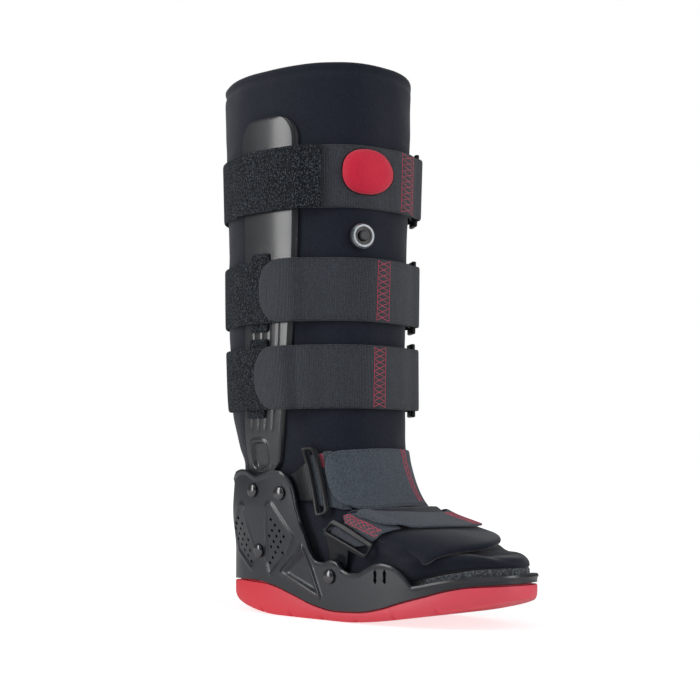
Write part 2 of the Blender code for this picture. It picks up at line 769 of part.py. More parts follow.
def mirror(made, name):
    """The same piece on the wearer's left."""
    bpy.context.view_layer.update()
    graph = bpy.context.evaluated_depsgraph_get()
    mesh = bpy.data.meshes.new_from_object(made.evaluated_get(graph), depsgraph=graph)
    mesh.transform(Matrix.Diagonal((-1, 1, 1, 1)) @ made.matrix_world)
    mesh.flip_normals()
    mesh.name = name
    return object_from(name, mesh)


def build_strut():
    """Flat plastic strut with a window recess above the shell and round holes for its rivets."""
    ups = [STRUT_FOOT, 0.066, 0.079, 0.090, 0.110, 0.122, 0.134, 0.147, 0.160, 0.200, 0.260, 0.340, 0.375, 0.386, 0.392,
           STRUT_TOP]

    def place(i, j):
        rear, front = strut_span(ups[j])
        return over(around_at(rear + (front - rear) * i / 4, ups[j]), ups[j], WRAP_GAP)

    strut = sheet("strut_right", "strut_plastic", 5, len(ups), place, STRUT_THICKNESS, 1)
    share, up = WINDOW_CENTRE
    half, tall = WINDOW_WIDTH / 2 / SOLE_LENGTH, WINDOW_HEIGHT / 2
    loop = [(-1, 0.7), (-0.7, 1), (0.7, 1), (1, 0.7), (1, -0.3), (0.75, -0.8), (0.3, -1), (-0.3, -1),
            (-0.75, -0.8), (-1, -0.3)]
    bm = bmesh.new()
    rings = []
    for height in (WRAP_GAP + STRUT_THICKNESS - WINDOW_DEPTH, 0.010):
        rings.append([over(around_at((share + x * half) * SOLE_LENGTH, up + z * tall), up + z * tall, height)
                      for x, z in loop])
    prism(bm, *rings)
    bmesh.ops.recalc_face_normals(bm, faces=bm.faces)
    cut(strut, object_from("window", mesh_from("window", bm), None, cutters))
    cut(strut, rivet_holes("strut_holes", list(STRUT_RIVETS.values())))
    mirror(strut, "strut_left")


def cover(around, up):
    """How far a strap round the leg has risen over a strut: 0 clear of it, 1 on it."""
    forward = forward_of(skin(around, up))
    rear, front = strut_span(min(up, STRUT_TOP - STRUT_CORNER))
    entering = smooth_step(rear - 0.010, rear - 0.003, forward)
    return entering * (1 - smooth_step(front + 0.003, front + 0.009, forward))


def build_patches():
    """Pile patches on the struts that keep the straps from sliding, just longer than the straps are wide."""
    for level in ("middle", "lower"):
        centre = STRAP_HEIGHTS[level]
        reach = STRAP_WIDTH / 2 + PATCH_PROUD
        ups = span(centre - reach, centre + reach, 4)

        def place(i, j):
            rear, front = strut_span(ups[j])
            forward = (rear * 0.62 + front * 0.38) + (i / 2 - 0.5) * PATCH_WIDTH
            return over(around_at(forward, ups[j]), ups[j], WRAP_GAP + STRUT_THICKNESS + FIT)

        patch = sheet(f"patch_{level}_right", "loop_pile", 3, 4, place, PATCH_THICKNESS, 1)
        mirror(patch, f"patch_{level}_left")


build_strut()
build_patches()


# Leg straps and rings

OVER_STRUT = STRUT_THICKNESS + PATCH_THICKNESS + 2 * FIT + WRAP_GAP
OVER_BAND = BAND_THICKNESS + WRAP_GAP + FIT
RING_PLANE = RING_HEADROOM + RING_WIRE / 2
BAR_OFFSET = (RING_SLOT + RING_WIRE) / 2


def ribbon(name, finish, stops, edges, thickness, rows=2):
    """A strap through stops of (around, slant, height of its middle, share of its width kept).

    A stop whose slant is a matrix is (distance, matrix, height, share) in that flat frame instead.
    """
    def place(i, j):
        around, slant, height, keep = stops[i]
        if isinstance(slant, Matrix):
            low, high = edges(0)
            return slant @ Vector((around, (high - low) * keep * (j / (rows - 1) - 0.5), height))
        low, high = edges(around)
        off = (high - low) * keep * (j / (rows - 1) - 0.5)
        up = (low + high) / 2 + off
        return over(around + slant * off * 1000, up, height)

    made = sheet(name, finish, len(stops), rows, place, thickness, 0)
    made.modifiers["wall"].use_even_offset = False
    return made


def degrees_for(distance, around, up):
    """Degrees round the surface that cover a distance along it."""
    return distance / (skin(around + 0.5, up) - skin(around - 0.5, up)).length


def fill(path, step):
    """A path with points added so that none are further apart than the step."""
    filled = [path[0]]
    for (t0, n0), (t1, n1) in zip(path, path[1:]):
        parts = max(1, math.ceil(abs(t1 - t0) / step))
        filled += [(t0 + (t1 - t0) * k / parts, n0 + (n1 - n0) * k / parts) for k in range(1, parts + 1)]
    return filled


def ring_frame(level):
    """Flat frame of a ring: X along the strap towards the front, Y up, Z out of the liner."""
    centre = STRAP_HEIGHTS[level]
    frame = facing(skin(RING_AROUND, centre), outward(RING_AROUND, centre))
    ahead = skin(RING_AROUND + 1, centre) - skin(RING_AROUND, centre)
    side = 1 if frame.col[0].to_3d().dot(ahead) > 0 else -1
    return frame, side


def round_bar(level, side, thickness):
    """Half turn of a strap round a ring's bar, from above it, through the slot, to below it."""
    frame, ahead = ring_frame(level)
    radius = RING_WIRE / 2 + BAR_FIT + thickness / 2
    stops = [(0.0098, RING_PLANE + radius - 0.0003)]
    stops += [(BAR_OFFSET - radius * math.sin(turn), RING_PLANE + radius * math.cos(turn))
              for turn in [math.pi * k / 4 for k in range(5)]]
    return [(ahead * side * t, frame, height, 1) for t, height in stops]


def lattice(level):
    """Angles at which every strap of a level bends, closest where they climb onto the struts."""
    centre = STRAP_HEIGHTS[level]
    rear, front = strut_span(centre)
    fine = [(around_at(front + 0.014, centre), around_at(front - 0.004, centre)),
            (around_at(rear + 0.004, centre), around_at(rear - 0.014, centre))]
    fine += [(360 - high, 360 - low) for low, high in fine]
    found = [-20.0]
    while found[-1] < 312:
        found.append(found[-1] + (4.2 if any(low <= found[-1] <= high for low, high in fine) else 11))
    return found


def rounded(length, width):
    """Share of a strap's width kept at a distance from its rounded tip."""
    radius = TIP_ROUNDING
    if length >= radius:
        return 1.0
    return 1 - 2 * (radius - math.sqrt(radius ** 2 - (radius - length) ** 2)) / width


def build_band(level):
    """Pile band: from the front, round the right strut, the heel side and the left strut to the ring."""
    centre, middle = STRAP_HEIGHTS[level], BAND_THICKNESS / 2
    ring = 360 + RING_AROUND
    stops = []
    start = BAND_START[level]
    for around in [start] + [angle for angle in lattice(level) if start + 1 < angle < ring - 15]:
        lift = OVER_STRUT * cover(around, centre)
        if level == "top" and around < 90:
            lift = max(lift, STRAP_THICKNESS + WRAP_GAP)
        stops.append((around, 0, WRAP_GAP + middle + lift, 1))
    stops.append((ring + degrees_for(-0.0120, RING_AROUND, centre), 0, WRAP_GAP + middle, 1))
    stops += reversed(round_bar(level, -1, BAND_THICKNESS))
    for t, height in ((-0.0130, 0.0078), (-0.0165, 0.0066)):
        stops.append((ring + degrees_for(t, RING_AROUND, centre), 0, height, 1))
    ribbon(f"band_{level}", "loop_pile", stops,
           lambda around: (centre - STRAP_WIDTH / 2, centre + STRAP_WIDTH / 2), BAND_THICKNESS)


def build_hook(level):
    """Smooth strap: from its end on the right, across the front, through the ring and back under itself."""
    centre, middle = STRAP_HEIGHTS[level], STRAP_THICKNESS / 2
    base, fold = WRAP_GAP + middle, FOLD_LENGTHS[level]
    above_tail = base + STRAP_THICKNESS + WRAP_GAP
    start = HOOK_START[level]
    climb = fill([(fold + 0.008, base), (fold + 0.001, above_tail), (0.018, above_tail + 0.0003)], 0.009)
    climb.append((0.0130, 0.0080))
    tail = fill([(0.013, base + 0.0002), (fold, base)], 0.010)
    last = RING_AROUND + degrees_for(climb[0][0], RING_AROUND, centre)

    def height(around):
        if level == "top":
            return base
        on_band = smooth_step(BAND_START[level] - 9, BAND_START[level] - 2, around)
        return base + OVER_STRUT * cover(around, centre) + OVER_BAND * on_band

    if level == "top":
        stops = [(start, 0, base, 1)]
        around = start
    else:
        stops = []
        for length in (0.0, 0.0015, 0.0045, 0.010, TIP_ROUNDING):
            around = start - degrees_for(length, start, centre)
            stops.append((around, 0, height(around), rounded(length, STRAP_WIDTH)))
    stops += [(angle, 0, height(angle), 1) for angle in reversed(lattice(level))
              if last + 3 < angle < around - 1.5]

    def along(path):
        return [(RING_AROUND + degrees_for(t, RING_AROUND, centre), 0, up, 1) for t, up in path]

    stops += along(climb) + round_bar(level, 1, STRAP_THICKNESS) + along(tail)
    name = "top_panel" if level == "top" else f"hook_{level}"
    return ribbon(name, "webbing", stops,
                  lambda around: (centre - STRAP_WIDTH / 2, centre + STRAP_WIDTH / 2), STRAP_THICKNESS)


def build_ring(level):
    """Rectangular ring that joins the band and the hook strap."""
    place = ring_frame(level)[0] @ Matrix.Translation((0, 0, RING_PLANE))
    tall = STRAP_WIDTH + 2 * BAR_FIT + 0.0006
    sizes = ((RING_SLOT + 2 * RING_WIRE, tall + 2 * RING_WIRE, RING_WIRE), (RING_SLOT, tall, RING_WIRE * 2))
    made = []
    for size, group in zip(sizes, (boot, cutters)):
        bm = bmesh.new()
        bmesh.ops.create_cube(bm, size=1, matrix=place @ Matrix.Diagonal((*size, 1)))
        if group is boot:
            bmesh.ops.bevel(bm, geom=bm.edges, offset=0.0007, segments=1, affect="EDGES")
        made.append(object_from(f"ring_{level}" if group is boot else f"ring_slot_{level}",
                                mesh_from(f"ring_{level}", bm), "ring_plastic" if group is boot else None, group))
    cut(made[0], made[1])


for strap_level in STRAP_HEIGHTS:
    build_band(strap_level)
    panel = build_hook(strap_level)
    if strap_level == "top":
        top_panel = panel
    build_ring(strap_level)


# Pump and valve

def oval(scale, height, count=18):
    """Loop of points round the bulb's place, at a height above the liner."""
    around, up = BULB_PLACE
    loop = []
    for k in range(count):
        turn = 2 * math.pi * k / count
        x = power(math.cos(turn), 0.85) * BULB_WIDTH / 2 * scale
        z = power(math.sin(turn), 0.85) * BULB_HEIGHT / 2 * scale
        loop.append(over(around + degrees_for(x, around, up), up + z, height))
    return loop


def build_pump():
    """Red bulb standing out of an oval opening in the top strap."""
    bm = bmesh.new()
    prism(bm, oval(1 + FIT / (BULB_WIDTH / 2), 0.0), oval(1 + FIT / (BULB_WIDTH / 2), 0.008))
    bmesh.ops.recalc_face_normals(bm, faces=bm.faces)
    cut(top_panel, object_from("bulb_opening", mesh_from("bulb_opening", bm), None, cutters))
    top = WRAP_GAP + STRAP_THICKNESS
    steps = ((0.12, WRAP_GAP), (0.40, WRAP_GAP), (0.70, WRAP_GAP), (0.97, WRAP_GAP), (0.97, top),
             (0.90, top + BULB_DOME * 0.38), (0.70, top + BULB_DOME * 0.72),
             (0.40, top + BULB_DOME * 0.93), (0.12, top + BULB_DOME))
    loft("pump_bulb", "bulb_red", [oval(scale, height) for scale, height in steps])


def build_valve():
    """Dished metal ring on the front of the liner, and the sprung button in it."""
    around, up = VALVE_PLACE
    place = facing(skin(around, up), outward(around, up))
    floor, guide, bore = WRAP_GAP + 0.0008, BUTTON_RADIUS + GAP, BUTTON_RADIUS + 0.0018
    top = WRAP_GAP + VALVE_HEIGHT
    collar = floor + BUTTON_STROKE + 3 * GAP
    turned("valve_ring", "valve_metal",
           [(0, floor), (guide, floor), (guide, collar), (bore, collar), (bore, top),
             (VALVE_RADIUS - 0.0012, top), (VALVE_RADIUS, top - 0.0012),
            (VALVE_RADIUS, WRAP_GAP), (0, WRAP_GAP)], 20, place)
    low = floor + BUTTON_STROKE + GAP
    turned("valve_button", "button_grey",
           [(0, BUTTON_PROUD + 0.0012), (BUTTON_RADIUS - 0.0008, BUTTON_PROUD + 0.0012),
            (BUTTON_RADIUS, BUTTON_PROUD + 0.0004), (BUTTON_RADIUS, low), (0, low)], 16, place)


build_pump()
build_valve()


# Brackets and rivets

def on_frame(kind, along, across):
    """Place on a bracket's frame as (share of the sole's length, up)."""
    (n0, n1), (f0, f1) = BRACKETS[kind]["near"], BRACKETS[kind]["far"]
    near = [n0[k] + (n1[k] - n0[k]) * along for k in (0, 1)]
    far = [f0[k] + (f1[k] - f0[k]) * along for k in (0, 1)]
    return [near[k] + (far[k] - near[k]) * across for k in (0, 1)]


def build_bracket(kind, rivet):
    """Slotted frame beside the shell's edge, on an arm that runs inside the shell to its rivet."""
    table = BRACKETS[kind]
    (along0, along1), (across0, across1) = table["slot"]
    alongs = [0, along0, 0.36, 0.64, along1, 1]
    acrosses = [0, across0, across1, 1]

    def corner(along, across):
        return on_frame(kind, along, across)

    def lay(share, up, lift):
        return over(around_at(share * SOLE_LENGTH, up), up, lift)

    def place(i, j):
        trim = 0.03 if i in (0, len(alongs) - 1) and j in (0, 3) else 0
        along = alongs[i] + (trim if i == 0 else -trim)
        return lay(*corner(along, acrosses[j]), BRACKET_LIFT)

    frame = sheet(f"{kind}_bracket_right", "ring_plastic", len(alongs), 4, place)
    bm = bmesh.new()
    bm.from_mesh(frame.data)
    middle = [lay(*corner(along, (across0 + across1) / 2), BRACKET_LIFT)
              for along in span(along0, along1, 13)]
    slot = [face for face in bm.faces
            if min((face.calc_center_median() - point).length for point in middle) < 0.0020]
    bmesh.ops.delete(bm, geom=slot, context="FACES")
    probe = sum((face.normal for face in bm.faces), Vector())
    if probe.x > 0:
        bmesh.ops.reverse_faces(bm, faces=bm.faces)
    bm.to_mesh(frame.data)
    bm.free()
    wall_of = frame.modifiers.new("wall", "SOLIDIFY")
    wall_of.thickness = BRACKET_THICKNESS
    wall_of.offset = 1
    wall_of.use_even_offset = True

    share, up = rivet[0], rivet[1] * SHELL_HEIGHT
    reach = 0.0075
    ends = [(share - reach * 0.9 / SOLE_LENGTH, up - reach), (share - reach * 0.9 / SOLE_LENGTH, up + reach)]
    if kind == "forefoot":
        ends = [(share - reach / SOLE_LENGTH, up - reach * 0.7),
                (share + reach / SOLE_LENGTH, up - reach * 0.7)]
    from_a, from_b = [corner(along, across0 * 0.5) for along in table["arm"]]
    lifts = [(0, 0.0010), (0.35, 0.0010), (0.62, 0.0013), (0.85, 0.0028), (1, BRACKET_LIFT + 0.0001)]

    def arm(i, j):
        t = (0, 0.35, 0.62, 0.82, 1)[i]
        w = j / 2
        start = [ends[0][k] + (ends[1][k] - ends[0][k]) * w for k in (0, 1)]
        stop = [from_a[k] + (from_b[k] - from_a[k]) * w for k in (0, 1)]
        bow = 0.16 * math.sin(math.pi * t) * (w - 0.5)
        x = start[0] + (stop[0] - start[0]) * t - bow * (stop[0] - start[0]) * 0.5
        z = start[1] + (stop[1] - start[1]) * t - bow * abs(stop[1] - start[1]) * 0.5
        return lay(x, z, between(lifts, 1, t))

    piece = sheet(f"{kind}_arm", None, 5, 3, arm, group=cutters)
    bm = bmesh.new()
    bm.from_mesh(piece.data)
    if sum((face.normal for face in bm.faces), Vector()).x > 0:
        bmesh.ops.reverse_faces(bm, faces=bm.faces)
    bm.to_mesh(piece.data)
    bm.free()
    web = piece.modifiers.new("wall", "SOLIDIFY")
    web.thickness = BRACKET_THICKNESS - 0.0002
    web.offset = 1
    web.use_even_offset = True
    cut(frame, piece, "UNION")
    cut(frame, rivet_holes(f"{kind}_hole", [rivet]))
    mirror(frame, f"{kind}_bracket_left")


def build_rivet(name, place_of):
    share, up = place_of[0], place_of[1] * SHELL_HEIGHT
    point, out = on_shell(share, up)
    head = 2 * FIT
    rivet = turned(f"rivet_{name}_right", "rivet_steel",
                   [(0, head + RIVET_DOME), (RIVET_HEAD * 0.6, head + RIVET_DOME * 0.84), (RIVET_HEAD, head),
                    (RIVET_SHANK, head), (RIVET_SHANK, -0.0066), (0, -0.0066)], 8, facing(point, out))
    mirror(rivet, f"rivet_{name}_left")


build_bracket("ankle", ANKLE_RIVET)
build_bracket("forefoot", FOREFOOT_RIVET)
for rivet_name, rivet_place in STRUT_RIVETS.items():
    build_rivet(f"strut_{rivet_name}", rivet_place)
build_rivet("ankle", ANKLE_RIVET)
build_rivet("forefoot", FOREFOOT_RIVET)


# Foot straps

def foot_edges(kind):
    table = ANKLE_EDGES if kind == "ankle" else FOREFOOT_EDGES
    return lambda around: (between(table, 1, abs(around)), between(table, 2, abs(around)))


def under_frame(kind, side):
    """Stops where a strap runs in under a bracket's frame, across its slot."""
    (along0, along1), (across0, across1) = BRACKETS[kind]["slot"]
    base = WRAP_GAP + STRAP_THICKNESS / 2
    stops = []
    for across in (1.15, across1, across0 - 0.12):
        edge = [on_frame(kind, along, across) for along in (0.2, 0.8)]
        turns = [around_at(share * SOLE_LENGTH, up) for share, up in edge]
        slant = (turns[1] - turns[0]) / ((edge[1][1] - edge[0][1]) * 1000)
        low, high = foot_edges(kind)(sum(turns) / 2)
        line = sum(turns) / 2 + slant * ((low + high) / 2 - (edge[0][1] + edge[1][1]) / 2) * 1000
        stops.append((side * line, side * slant, base, 0.94))
    return stops


def height_along(stops, around):
    """Height of a strap's middle at an angle, between its stops before it folds back."""
    ordered = []
    for stop in stops:
        if ordered and stop[0] <= ordered[-1][0]:
            break
        ordered.append(stop)
    return between([(stop[0], stop[2]) for stop in ordered], 1, around)


def build_foot_strap(kind):
    """Strap across the foot from its rounded end on the right to the left bracket, and the tab it lies on."""
    edges = foot_edges(kind)
    base = WRAP_GAP + STRAP_THICKNESS / 2
    low_side = base if kind == "ankle" else base + FLAP_GAP + FLAP_THICKNESS + FLAP_CLEARANCE
    tab_end, tip = TAB_ENDS[kind], FOOT_STRAP_TIPS[kind]
    inward = under_frame(kind, 1)
    flap_end = min(FLAP_EDGES[-1][0] + 1, inward[0][0] - 3)
    tab = [(tab_end, 0, low_side, 1)]
    tab += [(around, 0, low_side, 1) for around in span(tab_end, flap_end, 6)[1:]]
    tab += inward
    ribbon(f"{kind}_tab", "webbing", tab, edges, STRAP_THICKNESS, 3)
    stops = []
    lengths = (0, 0.0015, 0.004, 0.008, 0.014) if kind == "ankle" else (0, 0.0015, 0.004, 0.008, 0.013)
    step = STRAP_THICKNESS + WRAP_GAP + 2 * FIT

    def height(around):
        on_tab = smooth_step(tab_end - 6, tab_end - 1, around)
        return low_side + (height_along(tab, max(around, tab_end)) + step - low_side) * on_tab

    around = tip
    for length in lengths:
        around = tip - degrees_for(length, tip, sum(edges(tip)) / 2)
        keep = math.sqrt(1 - (1 - length / lengths[-1]) ** 2.2) * 0.72 + 0.28
        stops.append((around, 0, height(around), keep))
    while around > tab_end - 3.5:
        around -= 3
        stops.append((around, 0, height(around), 1))
    around -= 4.5
    far = under_frame(kind, -1)
    if kind == "forefoot":
        far.insert(0, (-flap_end, 0, low_side, 1))
    while around > far[0][0] + 3:
        stops.append((around, 0, low_side, 1))
        around -= 6.5
    ribbon(f"{kind}_strap", "webbing", stops + far, edges, STRAP_THICKNESS, 3)


build_foot_strap("ankle")
build_foot_strap("forefoot")
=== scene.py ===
"""Looks of the walking boot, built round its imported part. Metres, +Z up, toe along -Y, wearer's right -X."""

import json
import math

import bmesh
import bpy
from mathutils import Matrix, Vector, noise

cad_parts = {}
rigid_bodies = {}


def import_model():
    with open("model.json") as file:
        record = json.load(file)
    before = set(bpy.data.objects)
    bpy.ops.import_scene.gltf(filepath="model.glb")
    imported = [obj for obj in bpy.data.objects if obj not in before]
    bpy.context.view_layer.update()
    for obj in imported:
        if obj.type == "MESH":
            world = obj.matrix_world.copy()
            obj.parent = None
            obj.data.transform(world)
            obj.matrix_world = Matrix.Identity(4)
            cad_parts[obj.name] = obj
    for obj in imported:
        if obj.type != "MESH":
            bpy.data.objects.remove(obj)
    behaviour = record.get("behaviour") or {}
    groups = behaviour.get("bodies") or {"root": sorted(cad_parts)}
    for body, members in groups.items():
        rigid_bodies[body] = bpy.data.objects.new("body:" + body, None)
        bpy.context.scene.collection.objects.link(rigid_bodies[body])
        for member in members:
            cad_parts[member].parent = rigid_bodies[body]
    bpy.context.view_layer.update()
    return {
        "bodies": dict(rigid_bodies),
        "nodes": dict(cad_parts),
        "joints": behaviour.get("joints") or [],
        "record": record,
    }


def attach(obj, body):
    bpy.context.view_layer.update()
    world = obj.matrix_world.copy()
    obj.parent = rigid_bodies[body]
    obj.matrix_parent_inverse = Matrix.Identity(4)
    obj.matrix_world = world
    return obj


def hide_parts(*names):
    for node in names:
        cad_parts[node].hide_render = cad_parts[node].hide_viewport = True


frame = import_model()


# Studio: the camera stands 1.25 m away on the wearer's right of the toe, low down, and looks slightly up. Two
# tall soft boxes light the boot from the left behind and from the right in front, over a white floor. FOCAL,
# HORIZON_ROW and BOOT_COLUMN are in pixels of a picture PICTURE pixels wide.

SENSOR = 36
PICTURE = 700
FOCAL = 1523.0
HORIZON_ROW = 465
BOOT_COLUMN = 317
AWAY = 1.250
TURN = math.radians(45)
AIM = Vector((0, 0.040, 0.118))

camera = bpy.data.objects.new("camera", bpy.data.cameras.new("camera"))
bpy.context.scene.collection.objects.link(camera)
bpy.context.scene.camera = camera
camera.data.sensor_width = SENSOR
camera.data.lens = FOCAL * SENSOR / PICTURE
pitch = math.atan((HORIZON_ROW - PICTURE / 2) / FOCAL)
yaw = math.atan((PICTURE / 2 - BOOT_COLUMN) * math.cos(pitch) / FOCAL)
level = Vector((math.sin(TURN), math.cos(TURN), 0))
aside = Vector((math.cos(TURN), -math.sin(TURN), 0))
ahead = level * math.cos(yaw) + aside * math.sin(yaw)
right = aside * math.cos(yaw) - level * math.sin(yaw)
gaze = ahead * math.cos(pitch) + Vector((0, 0, 1)) * math.sin(pitch)
camera.matrix_world = (Matrix.Translation(AIM - level * AWAY)
                       @ Matrix((right, right.cross(gaze), -gaze)).transposed().to_4x4())


def soft_box(name, place, target, size, power):
    light = bpy.data.lights.new(name, "AREA")
    light.shape = "RECTANGLE"
    light.size, light.size_y = size
    light.energy = power
    made = bpy.data.objects.new(name, light)
    made.location = place
    made.rotation_euler = (Vector(target) - Vector(place)).to_track_quat("-Z", "Y").to_euler()
    bpy.context.scene.collection.objects.link(made)


def by_ray(tree, lighting):
    """A node that gives one value to the rays that light the boot, and its To Max to the camera's."""
    rays = tree.nodes.new("ShaderNodeLightPath")
    seen = tree.nodes.new("ShaderNodeMapRange")
    tree.links.new(rays.outputs["Is Camera Ray"], seen.inputs["Value"])
    seen.inputs["To Min"].default_value = lighting
    return seen


soft_box("left_box", (-1.35, 0.75, 0.75), (0, 0, 0.20), (0.5, 1.5), 12.5)
soft_box("right_box", (0.30, -1.55, 0.85), (0, 0, 0.20), (0.5, 1.5), 10.5)
soft_box("top_box", (-0.5, -0.5, 1.7), (0, 0, 0.10), (1.4, 1.4), 4)
world = bpy.context.scene.world or bpy.data.worlds.new("world")
bpy.context.scene.world = world
world.use_nodes = True
sky = world.node_tree.nodes["Background"]
sky.inputs["Color"].default_value = (1, 1, 1, 1)
seen = by_ray(world.node_tree, 0.13)
world.node_tree.links.new(seen.outputs["Result"], sky.inputs["Strength"])
bpy.context.scene.view_settings.view_transform = "Standard"

bm = bmesh.new()
bmesh.ops.create_grid(bm, x_segments=1, y_segments=1, size=8, matrix=Matrix.Translation((0, 0, -0.0002)))
floor_mesh = bpy.data.meshes.new("floor")
bm.to_mesh(floor_mesh)
bm.free()
floor = bpy.data.objects.new("floor", floor_mesh)
bpy.context.scene.collection.objects.link(floor)
paint = bpy.data.materials.new("floor_paint")
paint.use_nodes = True
paint_tree = paint.node_tree
white = paint_tree.nodes["Principled BSDF"]
white.inputs["Base Color"].default_value = (0.80, 0.80, 0.80, 1)
seen = by_ray(paint_tree, 0.15)
reach = paint_tree.nodes.new("ShaderNodeVectorMath")
reach.operation = "LENGTH"
middle = paint_tree.nodes.new("ShaderNodeTexCoord")
paint_tree.links.new(middle.outputs["Object"], reach.inputs[0])
fade = paint_tree.nodes.new("ShaderNodeMapRange")
fade.inputs["From Min"].default_value = 0.18
fade.inputs["From Max"].default_value = 1.10
fade.inputs["To Min"].default_value = 0.74
fade.inputs["To Max"].default_value = 1.0
paint_tree.links.new(reach.outputs["Value"], fade.inputs["Value"])
paint_tree.links.new(fade.outputs["Result"], seen.inputs["To Max"])
paint_tree.links.new(seen.outputs["Result"], white.inputs["Emission Color"])
white.inputs["Emission Strength"].default_value = 1.0
white.inputs["Roughness"].default_value = 0.7
floor.data.materials.append(paint)


# Outsole: moulded coral-red rubber, a little pinker towards the toe, glued under the shell, satin with a fine
# grain. The section also holds the boot's sizes and the surface that every piece follows.

SOLE_LENGTH = 0.290
SOLE_WIDTH = 0.1070
BOOT_HEIGHT = 0.434
ANKLE_HEIGHT = 0.132
LEG_DEPTH = 0.162
LEG_WIDTH = 0.126
LEG_AXIS = 0.076
ORIGIN_FORWARD = 0.116
GAP = 0.0003
WRAP_GAP = 0.0007
FIT = 0.0005
CURVED_FIT = 0.0012
SHELL_WALL = 0.003
POCKET = 0.0050
FOOTBED_THICKNESS = 0.003
RIM_HEIGHT = 0.002
SHELL_HEIGHT = 0.118
SOLE_THICKNESS = 0.0280
TOE_SPRING = 0.0225
HEEL_RISE = 0.013
TOE_ROUNDING = 13.0
TREAD_DEPTH = 0.0018
TREAD_PITCH = 0.036
TREAD_GROOVE = 0.0016
SOLE_BEVEL = 0.004
FELT_THICKNESS = 0.0070
LINER_SOLE_THICKNESS = 0.0055
PAD_TOP = SOLE_THICKNESS + FELT_THICKNESS + LINER_SOLE_THICKNESS + 3 * GAP
HALF_FOOT = SOLE_WIDTH / 2 - SHELL_WALL - POCKET - 2 * GAP
FOOT_END = SOLE_LENGTH - SHELL_WALL - GAP
FOOT_SECTIONS = (
    # up, back, front, half_width, taper, fullness
    (0.000, 0.000, 1.000, 1.000, 0.050, 2.8),
    (0.090, 0.003, 0.985, 1.022, 0.050, 2.8),
    (0.150, 0.006, 0.940, 1.045, 0.050, 2.8),
    (0.205, 0.009, 0.880, 1.060, 0.045, 2.8),
    (0.265, 0.013, 0.800, 1.075, 0.040, 2.8),
    (0.330, 0.018, 0.715, 1.090, 0.030, 2.8),
    (0.400, 0.023, 0.655, 1.100, 0.020, 2.8),
    (0.500, 0.030, 0.604, 1.110, 0.010, 2.8),
    (0.660, 0.040, 0.566, 1.110, 0.000, 2.8),
    (0.840, 0.048, 0.542, 1.110, 0.000, 2.8),
)
LEG_SECTIONS = (
    # up, back, front, half_width, fullness
    (0.000, -0.392, 0.466, 0.412, 2.8),
    (0.043, -0.416, 0.458, 0.424, 2.8),
    (0.103, -0.442, 0.452, 0.434, 2.8),
    (0.225, -0.462, 0.455, 0.443, 2.7),
    (0.358, -0.474, 0.462, 0.454, 2.6),
    (0.556, -0.484, 0.474, 0.466, 2.5),
    (1.000, -0.502, 0.498, 0.500, 2.5),
)
SEAM_LINE = ((0, 0.86), (0.10, 0.93), (0.18, 0.95), (0.26, 0.86), (0.35, 0.64), (0.43, 0.41), (0.51, 0.30),
             (0.60, 0.33), (0.67, 0.46), (0.735, 0.66), (0.80, 0.84), (0.87, 1.04), (0.93, 1.15), (1, 1.20))
FOOTBED_LINE = ((0, 1.10), (0.35, 1.02), (0.62, 0.93), (0.77, 1.00), (0.845, 1.15), (0.92, 1.28), (1, 1.33))


class Value:
    """A shader socket that adds, multiplies and compares like a number."""

    def __init__(self, tree, socket):
        self.tree, self.socket = tree, socket

    def math(self, operation, *values):
        node = self.tree.nodes.new("ShaderNodeMath")
        node.operation = operation
        for slot, value in zip(node.inputs, values):
            if isinstance(value, Value):
                self.tree.links.new(value.socket, slot)
            else:
                slot.default_value = value
        return Value(self.tree, node.outputs[0])

    def __add__(self, other):
        return self.math("ADD", self, other)

    def __sub__(self, other):
        return self.math("SUBTRACT", self, other)

    def __rsub__(self, other):
        return self.math("SUBTRACT", other, self)

    def __mul__(self, other):
        return self.math("MULTIPLY", self, other)

    def __gt__(self, other):
        return self.math("GREATER_THAN", self, other)

    def __lt__(self, other):
        return self.math("LESS_THAN", self, other)

    def __abs__(self):
        return self.math("ABSOLUTE", self)

    __radd__ = __add__
    __rmul__ = __mul__

    def wave(self, period):
        return self.math("SINE", self * (2 * math.pi / period))


LOOKS = {}


class Finish:
    """The material of a slot: constants on its own shader, patterns through node()."""

    def __init__(self, slot, roughness, metallic=0.0, **constants):
        self.material = bpy.data.materials.new(slot + "_look")
        LOOKS[slot] = self.material
        self.material.use_nodes = True
        self.tree = self.material.node_tree
        self.shader = self.tree.nodes["Principled BSDF"]
        for key, value in {"Roughness": roughness, "Metallic": metallic, **constants}.items():
            self.shader.inputs[key.replace("_", " ")].default_value = value

    def node(self, kind, settings=None, values=None, output=0):
        made = self.tree.nodes.new("ShaderNode" + kind)
        for key, value in (settings or {}).items():
            setattr(made, key, value)
        for key, value in (values or {}).items():
            if isinstance(value, Value):
                self.tree.links.new(value.socket, made.inputs[key])
            else:
                made.inputs[key].default_value = value
        return Value(self.tree, made.outputs[output])

    def noise(self, scale, detail=3.0, place=None):
        place = place or self.node("TexCoord", output="Object")
        return self.node("TexNoise", None, {"Vector": place, "Scale": scale, "Detail": detail})

    def colour(self, factor, first, second):
        ramp = self.node("Mix", {"data_type": "RGBA"}, {0: factor, 6: (*first, 1), 7: (*second, 1)}, output=2)
        self.tree.links.new(ramp.socket, self.shader.inputs["Base Color"])
        return ramp

    def bump(self, height, distance, strength=1.0):
        made = self.node("Bump", None, {"Height": height, "Distance": distance, "Strength": strength})
        self.tree.links.new(made.socket, self.shader.inputs["Normal"])

    def rough(self, value):
        self.tree.links.new(value.socket, self.shader.inputs["Roughness"])

    def across(self):
        """Distances along and across a strap, in metres."""
        place = self.node("Attribute", {"attribute_name": "strap"}, output="Vector")
        parts = self.node("SeparateXYZ", None, {"Vector": place})
        return parts, Value(self.tree, parts.socket.node.outputs[1])


SLOTS = {row["node"]: row["material_slot"] for row in frame["record"]["subparts"]}


